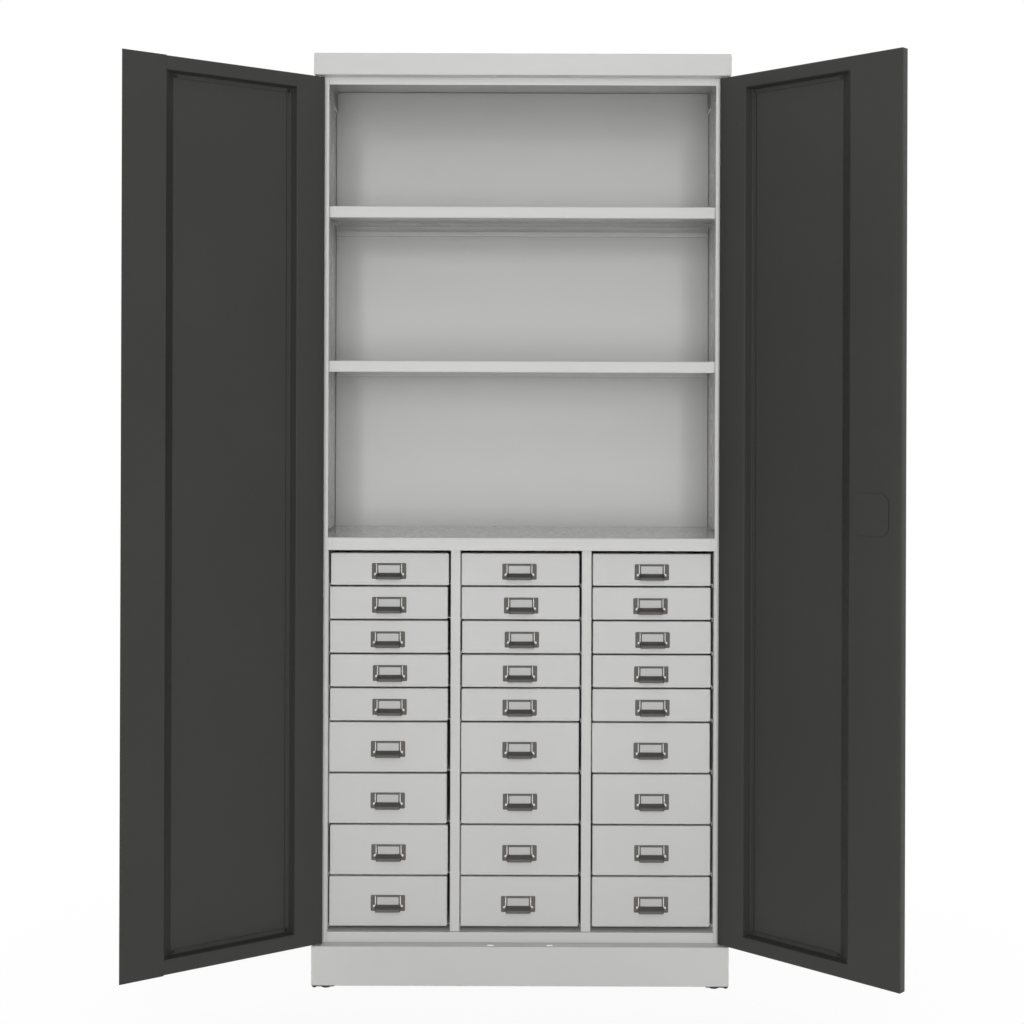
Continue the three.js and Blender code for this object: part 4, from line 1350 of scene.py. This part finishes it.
class CABINET_OT_pulls(bpy.types.Operator):
    """Build the label-holder pulls: frame and finger cup, and the ribs and rivets in a lighter
    nickel that paints their highlights
    """

    bl_idname = "cabinet.pulls"
    bl_label = "Pulls"

    def execute(self, context):
        plate, ribs = pull_form(), pull_ribs_form()
        for node in drawer_names():
            place = drawer_places(node)[1]
            finish_piece(f"{node}_pull", plate.moved(np.eye(3), place), "dark_nickel_plate",
                         f"{node}_body")
            # Ribs and rivets get the lighter nickel, whose colour paints the lamps' highlights on
            # them
            finish_piece(f"{node}_pull_ribs", ribs.moved(np.eye(3), place),
                         "bright_nickel_plate", f"{node}_body")
        return {"FINISHED"}


class CABINET_OT_cards(bpy.types.Operator):
    """Build the label cards behind the windows"""

    bl_idname = "cabinet.cards"
    bl_label = "Label cards"

    def execute(self, context):
        form = card_form()
        for node in drawer_names():
            finish_piece(f"{node}_card", form.moved(np.eye(3), drawer_places(node)[1]),
                         "label_card", f"{node}_body")
        return {"FINISHED"}


# Doors


# Share of the skin's free flange past its fold that the flanges at the door's ends keep
END_SHARE = 0.01


class DoorPlan:
    """One door's own plan, drawn shut with its pivot at the origin, and its rest place.

    Across runs from the hinge edge to the free edge and depth from the outer to the inner face.
    The right door is the mirror image, and each is turned about its hinge to the rest angle.
    """

    def __init__(self, name):
        sizes = bpy.context.scene.cabinet_doors
        joint = HINGES[f"{name}_door_hinge"]
        self.name, self.side = name, SIDES[name]
        self.left = -sizes.pivot_from_edge
        self.right = self.left + sizes.width
        self.outer = -sizes.pivot_from_face
        self.inner = self.outer + sizes.thickness
        self.face = self.inner - sheet_sizes().sheet / 2
        self.floor = self.outer + sheet_sizes().sheet + sheet_sizes().gap
        angle = math.radians(-joint["range_deg"][0]) * self.side
        turn = np.array([[math.cos(angle), -math.sin(angle), 0.0],
                         [math.sin(angle), math.cos(angle), 0.0], [0.0, 0.0, 1.0]])
        self.matrix = turn @ np.diag([-self.side, 1.0, 1.0])
        self.shift = np.array([joint["pos_m"][0], joint["pos_m"][1], 0.0])
        low, high = node_box(f"{name}_door_skin")
        self.bottom, self.top = low[2], high[2]

    def set(self, form):
        """The form in its place."""
        return form.moved(self.matrix, self.shift)


def end_return():
    """Width of the skin's flange at the door's top and bottom, and of its part in the fold."""
    sizes = bpy.context.scene.cabinet_doors
    knee = 2 * (sizes.skin_bend + sheet_sizes().sheet)
    return knee + END_SHARE * (sizes.free_return - knee), knee


def door_skin(plan):
    """Folded skin: outer face, four sides and the flanges round the inner face."""
    sizes, sheet = bpy.context.scene.cabinet_doors, sheet_sizes().sheet
    depth, knee = sizes.thickness, end_return()[1]
    section = [(sizes.free_return, depth - sheet / 2), (sheet / 2, depth - sheet / 2),
               (sheet / 2, sheet / 2), (FACE_START, sheet / 2)]
    hinge_share = (sizes.hinge_return - knee) / (sizes.free_return - knee)
    shares = [[hinge_share, 1.0, END_SHARE, END_SHARE], [1.0, 1.0, 1.0, 1.0]]
    return folded_pan(Form(), (plan.left, plan.bottom), (plan.right, plan.top), section, shares,
                      sizes.corner, place=standing(plan.outer), **fold_keys(sizes.skin_bend))


def stile_corners(plan, start, way, width, slope):
    """Middle line of a stile's section: flush face, sloping web and foot."""
    sheet, foot = sheet_sizes().sheet, bpy.context.scene.cabinet_doors.stile_foot
    return [(start, plan.face), (start + way * width, plan.face),
            (start + way * (width + slope), plan.floor + sheet / 2),
            (start + way * (width + slope + foot), plan.floor + sheet / 2)]


def door_leg(form, low, high, plan):
    """Leg of a stile or rail: a bar from the skin to just under the face."""
    return block(form, (low[0], plan.floor, low[1]),
                 (high[0], plan.inner - sheet_sizes().sheet - sheet_sizes().gap / 10, high[1]))


def stile_plans(plan):
    """Start, direction, width and slope of the hinge stile and the free stile."""
    sizes = bpy.context.scene.cabinet_doors
    width, slope = ((sizes.left_stile, sizes.left_slope) if plan.side < 0
                    else (sizes.right_stile, sizes.right_slope))
    hinge, free = sizes.hinge_return + sizes.seam, sizes.free_return + sizes.seam
    return {
        "hinge": (plan.left + hinge, 1.0, sizes.hinge_stile - hinge, sizes.hinge_slope),
        "free": (plan.right - free, -1.0, width - free, slope),
    }


def rail_end(plan, stile):
    """Function that gives, for each point of a rail's section, where its end meets the stile."""
    start, way, width, slope = stile
    sheet = sheet_sizes().sheet
    drawn_in = sheet * 0.6

    def place(ring):
        share = np.clip((plan.inner - ring[:, 0]) / (plan.inner - plan.floor - sheet), 0.0, 1.0)
        return start + way * (width + slope * share - drawn_in)
    return place


def rail_corners(plan, start, way, height):
    """Middle line of a rail's section, as (depth, level): flush face, slope and foot."""
    sizes, floor = bpy.context.scene.cabinet_doors, plan.floor + sheet_sizes().sheet / 2
    base = height + sizes.rail_slope
    return [(plan.face, start), (plan.face, start + way * height), (floor, start + way * base),
            (floor, start + way * (base + sizes.stile_foot))]


def door_piece(plan, part, form, *cutters):
    """Paints and hangs one painted piece of a door, less its cutters."""
    name, shape = f"{plan.name}_door_{part}_form", plan.set(form)
    if cutters:
        shape = cut_out(name, shape, *(plan.set(cutter) for cutter in cutters))
    return finish_piece(name, shape, "door_powder_paint", f"{plan.name}_door",
                        [f"{plan.name}_door_{part}"])


def lock_level():
    """Level of the lock's spindle, at the middle of its cover plate."""
    low, high = node_box("lock_cover_plate")
    return (low[2] + high[2]) / 2


def door_holes(plan):
    """Cutters for the skin's holes: the hinge pin's, and the lock's rods' and spindle's."""
    sizes, sides = bpy.context.scene.cabinet_doors, 24
    angles = np.linspace(0.0, 2 * math.pi, sides, endpoint=False)
    circle = np.stack([np.cos(angles), np.sin(angles)], axis=1)
    lock = plan.right - sizes.lock_from_edge
    width, depth = sizes.rod_hole_width / 2, sizes.rod_hole_depth / 2
    cutter = Form()
    for level in (plan.bottom, plan.top):
        slab(cutter, circle * sizes.pin_hole, level - SHORT_CUT, level + SHORT_CUT, "Z")
        if plan.name == "right":
            block(cutter, (lock - width, -depth, level - SHORT_CUT),
                  (lock + width, depth, level + SHORT_CUT))
    if plan.name == "right":
        slab(cutter, circle * sizes.spindle_hole + (lock, lock_level()),
             plan.outer - SHORT_CUT, plan.outer + SHORT_CUT, "Y")
    return cutter


def meeting_strip(plan):
    """Flat strip on the left door's free stile that reaches over the right door's edge."""
    sizes, edge = bpy.context.scene.cabinet_doors, 0.00035
    start = plan.inner + sheet_sizes().gap
    form = block(Form(), (plan.right - sizes.left_stile, start, plan.bottom),
                 (plan.right + sizes.meeting_lap, start + sheet_sizes().sheet, plan.top))
    return finish_piece("left_door_meeting_strip", plan.set(form), "door_powder_paint",
                        "left_door", edge=edge)


class CABINET_OT_doors(bpy.types.Operator):
    """Build both doors: skin, stiles and rails"""

    bl_idname = "cabinet.doors"
    bl_label = "Doors"

    def execute(self, context):
        sizes, sheet = context.scene.cabinet_doors, sheet_sizes().sheet
        keys = fold_keys(sizes.frame_bend)
        seam = end_return()[0] + sizes.seam
        spare = seam - sheet - sheet_sizes().gap
        for name in SIDES:
            plan = DoorPlan(name)
            door_piece(plan, "skin", door_skin(plan), door_holes(plan))
            low, high = plan.bottom + seam, plan.top - seam
            stiles = stile_plans(plan)
            for part, stile in stiles.items():
                form = Form()
                folded_strip(form, stile_corners(plan, *stile), low, high, "Z", **keys)
                start, end = sorted((stile[0], stile[0] + stile[1] * sheet))
                door_leg(form, (start, low), (end, high), plan)
                door_piece(plan, f"{part}_stile", form)
            ends = [rail_end(plan, stile) for stile in stiles.values()]
            inside = sorted(stile[0] + stile[1] * 2 * sheet for stile in stiles.values())
            for part, start, way, height in (("top_rail", high, -1.0, sizes.top_rail),
                                             ("bottom_rail", low, 1.0, sizes.bottom_rail)):
                form = Form()
                folded_strip(form, rail_corners(plan, start, way, height - spare), *ends, "X",
                             **keys)
                levels = sorted((start, start + way * sheet))
                door_leg(form, (inside[0], levels[0]), (inside[1], levels[1]), plan)
                door_piece(plan, part, form)
        meeting_strip(DoorPlan("left"))
        return {"FINISHED"}


class CABINET_OT_lock(bpy.types.Operator):
    """Build the lock's cover plate and the outer handle"""

    bl_idname = "cabinet.lock"
    bl_label = "Lock"

    def execute(self, context):
        sizes, plan = context.scene.cabinet_doors, DoorPlan("right")
        a, b, c = sizes.plate_width / 2, sizes.plate_height / 2, sizes.plate_chamfer
        octagon = np.array([[a - c, -b], [a, -b + c], [a, b - c], [a - c, b],
                            [-a + c, b], [-a, b - c], [-a, -b + c], [-a + c, -b]])
        start, edge = plan.inner + sheet_sizes().gap, 0.0005
        form = slab(Form(), octagon + (plan.right - sizes.plate_from_edge, lock_level()),
                    start, start + sizes.plate_sheet, "Y")
        finish_piece("lock_cover_octagon", plan.set(form), "door_powder_paint", "right_door",
                     ["lock_cover_plate"], edge)
        finish_piece("door_lever", plan.set(handle_form(plan, lock_level())), "black_plastic",
                     "lock_handle", ["door_handle"])
        return {"FINISHED"}


def handle_form(plan, level):
    """Rose and neck turned about the spindle, and a lever carried along its length.

    The lever's section is a superellipse of power three. Its width and thickness fall off
    towards the tip by a cosine, which also spaces the stations, and close at both ends by the
    square root of a sine.
    """
    sizes = bpy.context.scene.cabinet_doors
    x = plan.right - sizes.lock_from_edge
    face = plan.outer - sheet_sizes().gap
    rose, thick = sizes.rose_radius, sizes.rose_thickness
    neck, reach = sizes.neck_radius, sizes.neck_length + sizes.rose_thickness
    spindle_radius, spindle_end, rose_sides = 0.005, -0.0145, 40
    profile = [(spindle_radius, spindle_end), (spindle_radius, 0.0), (rose, 0.0),
               (rose, thick * 0.55), (rose - 0.0012, thick * 0.85), (rose - 0.0035, thick),
               (neck + 0.003, thick), (neck + 0.0008, thick + 0.0018), (neck, thick + 0.004),
               (neck, reach)]
    form = turned(Form(), profile, rose_sides, facing_front(x, face, level))
    stations, sides, power, fall = 25, 28, 3, 0.28
    end_steepness, least_end = 4.0, 0.05
    share = np.linspace(0.0, 1.0, stations)[:, None]
    close = np.clip(np.sin(math.pi * share) * end_steepness, least_end, 1.0) ** 0.5
    angle = np.linspace(0.0, 2 * math.pi, sides, endpoint=False)
    cosine, sine = np.cos(angle), np.sin(angle)
    across = np.sign(cosine) * np.abs(cosine) ** (2 / power)
    deep = np.sign(sine) * np.abs(sine) ** (2 / power)
    length = sizes.lever_length + sizes.lever_width / 2
    travel = 0.5 - 0.5 * np.cos(math.pi * share)
    along = x + sizes.lever_width / 2 - length * travel
    taper = 1.0 - fall * travel
    y = face - reach + sizes.lever_thickness / 2 * deep * close * taper
    z = level + sizes.lever_width / 2 * across * close * taper
    return lofted(form, np.stack(np.broadcast_arrays(along, y, z), axis=-1))


# Hinges, rods and feet


def dress_node(node, finish, edge):
    """Gives a CAD node its finish, and softens a welded copy of its edges by modifiers."""
    piece = frame["nodes"][node]
    piece.data.materials.clear()
    piece.data.materials.append(bpy.data.materials[finish])
    weld = piece.modifiers.new("weld", "WELD")
    weld.merge_threshold = 0.00001
    return soften(piece, edge)


class CABINET_OT_hidden_steel(bpy.types.Operator):
    """Finish the hinge pins and the lock rods"""

    bl_idname = "cabinet.hidden_steel"
    bl_label = "Pins and rods"

    def execute(self, context):
        edge = 0.0004
        for node in ("left_hinge_pin", "right_hinge_pin", "upper_lock_rod", "lower_lock_rod"):
            dress_node(node, "zinc_plate", edge)
        return {"FINISHED"}


def foot_form(node):
    """One foot: fluted disc, threaded stem, pad and peg."""
    sizes = sheet_sizes()
    low, high = node_box(node)
    centre, way = foot_plan(node)
    under = node_box("plinth")[0][2] - sizes.gap
    floor, radius, peg = under - sizes.pad_sheet, sizes.foot_radius, sizes.peg_radius
    height = high[2] - low[2]
    flutes, flute_depth = 18, 0.045
    thread_radius, thread_depth, thread_pitch, tip_radius = 0.0039, 0.0004, 0.0005, 0.003
    disc_sides, stem_sides, peg_sides = 72, 20, 28
    pad_corner, pad_steps = 0.004, 6

    def place(loops):
        return loops + np.array([centre[0], centre[1], low[2]])

    form = turned(Form(), [(radius * 0.86, 0.0), (radius * 0.97, 0.0005), (radius, 0.0012),
                           (radius, floor - 0.0006), (radius * 0.96, floor - 0.0001)],
                  disc_sides, place, flutes, flute_depth)
    levels = np.arange(floor, height - 0.0004, thread_pitch)
    stem = np.stack([thread_radius - thread_depth * (np.arange(len(levels)) % 2), levels], axis=1)
    turned(form, np.vstack([stem, [tip_radius, height]]), stem_sides, place)
    slab(form, rounded_rectangle(low[:2], high[:2], pad_corner, pad_steps), floor, under, "Z")
    spot = centre + way * (np.array([sizes.foot_side, sizes.foot_front]) - sizes.peg_inset)
    return turned(form, [(peg * 0.8, 0.001), (peg, 0.0016), (peg, floor + 0.0002)], peg_sides,
                  lambda loops: loops + np.array([spot[0], spot[1], 0.0]))


class CABINET_OT_feet(bpy.types.Operator):
    """Build the levelling feet: a fluted disc on a threaded stem, under a pad with a peg"""

    bl_idname = "cabinet.feet"
    bl_label = "Feet"

    def execute(self, context):
        for node in FEET:
            finish_piece(f"{node}_disc", foot_form(node), "black_plastic", "cabinet",
                         [node])
        return {"FINISHED"}


# Stage


def lamp(name, place, target, size, power):
    """Area lamp at a place, aimed at a target, which gloss does not show."""
    data = bpy.data.lights.new(name, "AREA")
    data.shape = "RECTANGLE"
    data.size, data.size_y = size
    data.energy = power
    light = bpy.data.objects.new(name, data)
    bpy.context.scene.collection.objects.link(light)
    light.location = place
    light.visible_glossy = False
    aim = np.asarray(target, float) - np.asarray(place, float)
    tilt = math.atan2(math.hypot(aim[0], aim[1]), -aim[2])
    light.rotation_euler = (tilt, 0.0, math.atan2(aim[0], -aim[1]) + math.pi)
    return light


def white_background(strength):
    """World that shows white to the camera, to gloss and to glass, and lights evenly."""
    world = bpy.data.worlds.new("studio")
    bpy.context.scene.world = world
    world.use_nodes = True
    nodes = Nodes(world.node_tree)
    nodes.tree.nodes.clear()
    path = nodes.new("ShaderNodeLightPath").outputs
    seen = nodes.joined("ShaderNodeMath", path["Is Camera Ray"], path["Is Glossy Ray"],
                        operation="MAXIMUM")
    any_view = nodes.joined("ShaderNodeMath", seen, path["Is Transmission Ray"],
                            operation="MAXIMUM")
    white = (1.0, 1.0, 1.0, 1.0)
    even, plain = (nodes.joined("ShaderNodeBackground", Color=white, Strength=level)
                   for level in (strength, 1.0))
    mix = nodes.joined("ShaderNodeMixShader", any_view, even, plain)
    nodes.link(mix, nodes.new("ShaderNodeOutputWorld").inputs["Surface"])


def pale_floor():
    """Round floor: matt white near the cabinet, going over to plain white further out."""
    sides, depth = 96, -0.0005
    angles = np.linspace(0.0, 2 * math.pi, sides, endpoint=False)
    radii = np.array([0.02, 1.0, 3.0, 8.0, 40.0])[:, None]
    ring = np.stack([radii * np.cos(angles), radii * np.sin(angles),
                     np.full((len(radii), sides), depth)], axis=-1)
    mesh = bpy.data.meshes.new("studio_floor")
    faces = strip_faces(len(radii), sides, True)[:, ::-1].tolist() + [list(range(sides))]
    mesh.from_pydata(ring.reshape(-1, 3).tolist(), [], faces)
    mesh.update()
    floor = add_object("studio_floor", mesh)
    finish = Finish("pale_floor")
    finish.set(Base_Color=(0.88, 0.88, 0.88, 1.0), Roughness=0.9, Specular_IOR_Level=0.1)
    # Share of plain white, which grows between two distances from the middle
    near, far, near_share = 0.55, 1.3, 0.93
    distance = finish.new("ShaderNodeVectorMath", operation="LENGTH")
    finish.link(finish.coordinates, distance.inputs[0])
    white_share = finish.spread(distance.outputs["Value"], near_share, 1.0, near, far)
    path = finish.new("ShaderNodeLightPath").outputs
    seen = finish.joined("ShaderNodeMath", path["Is Camera Ray"], path["Is Glossy Ray"],
                         operation="MAXIMUM")
    share = finish.joined("ShaderNodeMath", white_share, seen, operation="MULTIPLY")
    mix = finish.joined("ShaderNodeMixShader", share, finish.shader.outputs["BSDF"],
                        finish.joined("ShaderNodeEmission", Strength=1.0))
    finish.link(mix, finish.tree.nodes["Material Output"].inputs["Surface"])
    mesh.materials.append(finish.material)


# Point of the cabinet's front that most lamps aim at
AIM = (MIDDLE_X, FRONT_Y, 1.0)

# Lamps: place, target, size and the property of the stage that holds the power
LAMPS = {
    "front_softbox": ((0.0, -5.2, 1.3), AIM, (1.9, 2.4), "front_power"),
    "high_softbox": ((0.0, -3.8, 2.9), AIM, (1.8, 1.0), "high_power"),
    "top_softbox": ((0.0, -1.7, 4.2), AIM, (2.6, 1.4), "top_power"),
    "overhead_softbox": ((0.0, 1.0, 4.4), (0.0, 0.2, 1.8), (2.0, 1.4), "overhead_power"),
    "left_softbox": ((-3.4, 0.4, 1.5), AIM, (1.6, 1.6), "side_power"),
    "right_softbox": ((3.4, 0.4, 1.5), AIM, (1.6, 1.6), "side_power"),
    "rear_softbox": ((0.0, 4.0, 2.4), AIM, (3.0, 2.0), "rear_power"),
}


class CABINET_OT_stage(bpy.types.Operator):
    """Set the floor, the lamps, the white surroundings and the camera"""

    bl_idname = "cabinet.stage"
    bl_label = "Stage"

    def execute(self, context):
        scene, stage = context.scene, context.scene.cabinet_stage
        pale_floor()
        white_background(stage.sky)
        for name, (place, target, size, power) in LAMPS.items():
            lamp(name, place, target, size, getattr(stage, power))
        data = bpy.data.cameras.new("camera")
        camera = bpy.data.objects.new("camera", data)
        scene.collection.objects.link(camera)
        camera.location = (MIDDLE_X, FRONT_Y - stage.distance, stage.height)
        camera.rotation_euler = (math.pi / 2, stage.roll, 0.0)
        data.lens, data.sensor_width = stage.focal, 36.0
        data.shift_x, data.shift_y = stage.shift_right, stage.shift_up
        scene.camera = camera
        scene.view_settings.view_transform = "Standard"
        return {"FINISHED"}


# Add-on


GROUPS = {
    "cabinet_sheet": CabinetSheetSizes,
    "cabinet_uprights": CabinetUprightSizes,
    "cabinet_drawers": CabinetDrawerSizes,
    "cabinet_doors": CabinetDoorSizes,
    "cabinet_finishes": CabinetFinishes,
    "cabinet_stage": CabinetStage,
}

OPERATORS = (
    CABINET_OT_finishes, CABINET_OT_stage, CABINET_OT_cap, CABINET_OT_plinth,
    CABINET_OT_side_panels, CABINET_OT_uprights, CABINET_OT_shelf_clips,
    CABINET_OT_back_panel, CABINET_OT_floor_panel, CABINET_OT_unit_top, CABINET_OT_shelves,
    CABINET_OT_dividers, CABINET_OT_runner_panels, CABINET_OT_drawers, CABINET_OT_pulls,
    CABINET_OT_cards, CABINET_OT_doors, CABINET_OT_lock, CABINET_OT_hidden_steel,
    CABINET_OT_feet,
)


class CABINET_PT_pieces(bpy.types.Panel):
    """Lists the cabinet's pieces and their sizes"""

    bl_idname = "CABINET_PT_pieces"
    bl_label = "Cabinet"
    bl_space_type = "VIEW_3D"
    bl_region_type = "UI"
    bl_category = "Cabinet"

    def draw(self, context):
        for operator in OPERATORS:
            self.layout.operator(operator.bl_idname)
        for name, group in GROUPS.items():
            box = self.layout.box()
            for key in group.__annotations__:
                box.prop(getattr(context.scene, name), key)


def register():
    """Registers the property groups, operators and panel."""
    for name, group in GROUPS.items():
        bpy.utils.register_class(group)
        setattr(bpy.types.Scene, name, bpy.props.PointerProperty(type=group))
    for operator in OPERATORS:
        bpy.utils.register_class(operator)
    bpy.utils.register_class(CABINET_PT_pieces)


def unregister():
    """Takes the panel, operators and property groups out again."""
    bpy.utils.unregister_class(CABINET_PT_pieces)
    for operator in reversed(OPERATORS):
        bpy.utils.unregister_class(operator)
    for name, group in reversed(GROUPS.items()):
        delattr(bpy.types.Scene, name)
        bpy.utils.unregister_class(group)


def main():
    register()
    bpy.ops.cabinet.finishes()
    bpy.ops.cabinet.stage()
    bpy.ops.cabinet.cap()
    bpy.ops.cabinet.plinth()
    bpy.ops.cabinet.side_panels()
    bpy.ops.cabinet.uprights()
    bpy.ops.cabinet.shelf_clips()
    bpy.ops.cabinet.back_panel()
    bpy.ops.cabinet.floor_panel()
    bpy.ops.cabinet.unit_top()
    bpy.ops.cabinet.shelves()
    bpy.ops.cabinet.dividers()
    bpy.ops.cabinet.runner_panels()
    bpy.ops.cabinet.drawers()
    bpy.ops.cabinet.pulls()
    bpy.ops.cabinet.cards()
    bpy.ops.cabinet.doors()
    bpy.ops.cabinet.lock()
    bpy.ops.cabinet.hidden_steel()
    bpy.ops.cabinet.feet()
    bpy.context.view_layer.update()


if __name__ == "__main__":
    main()
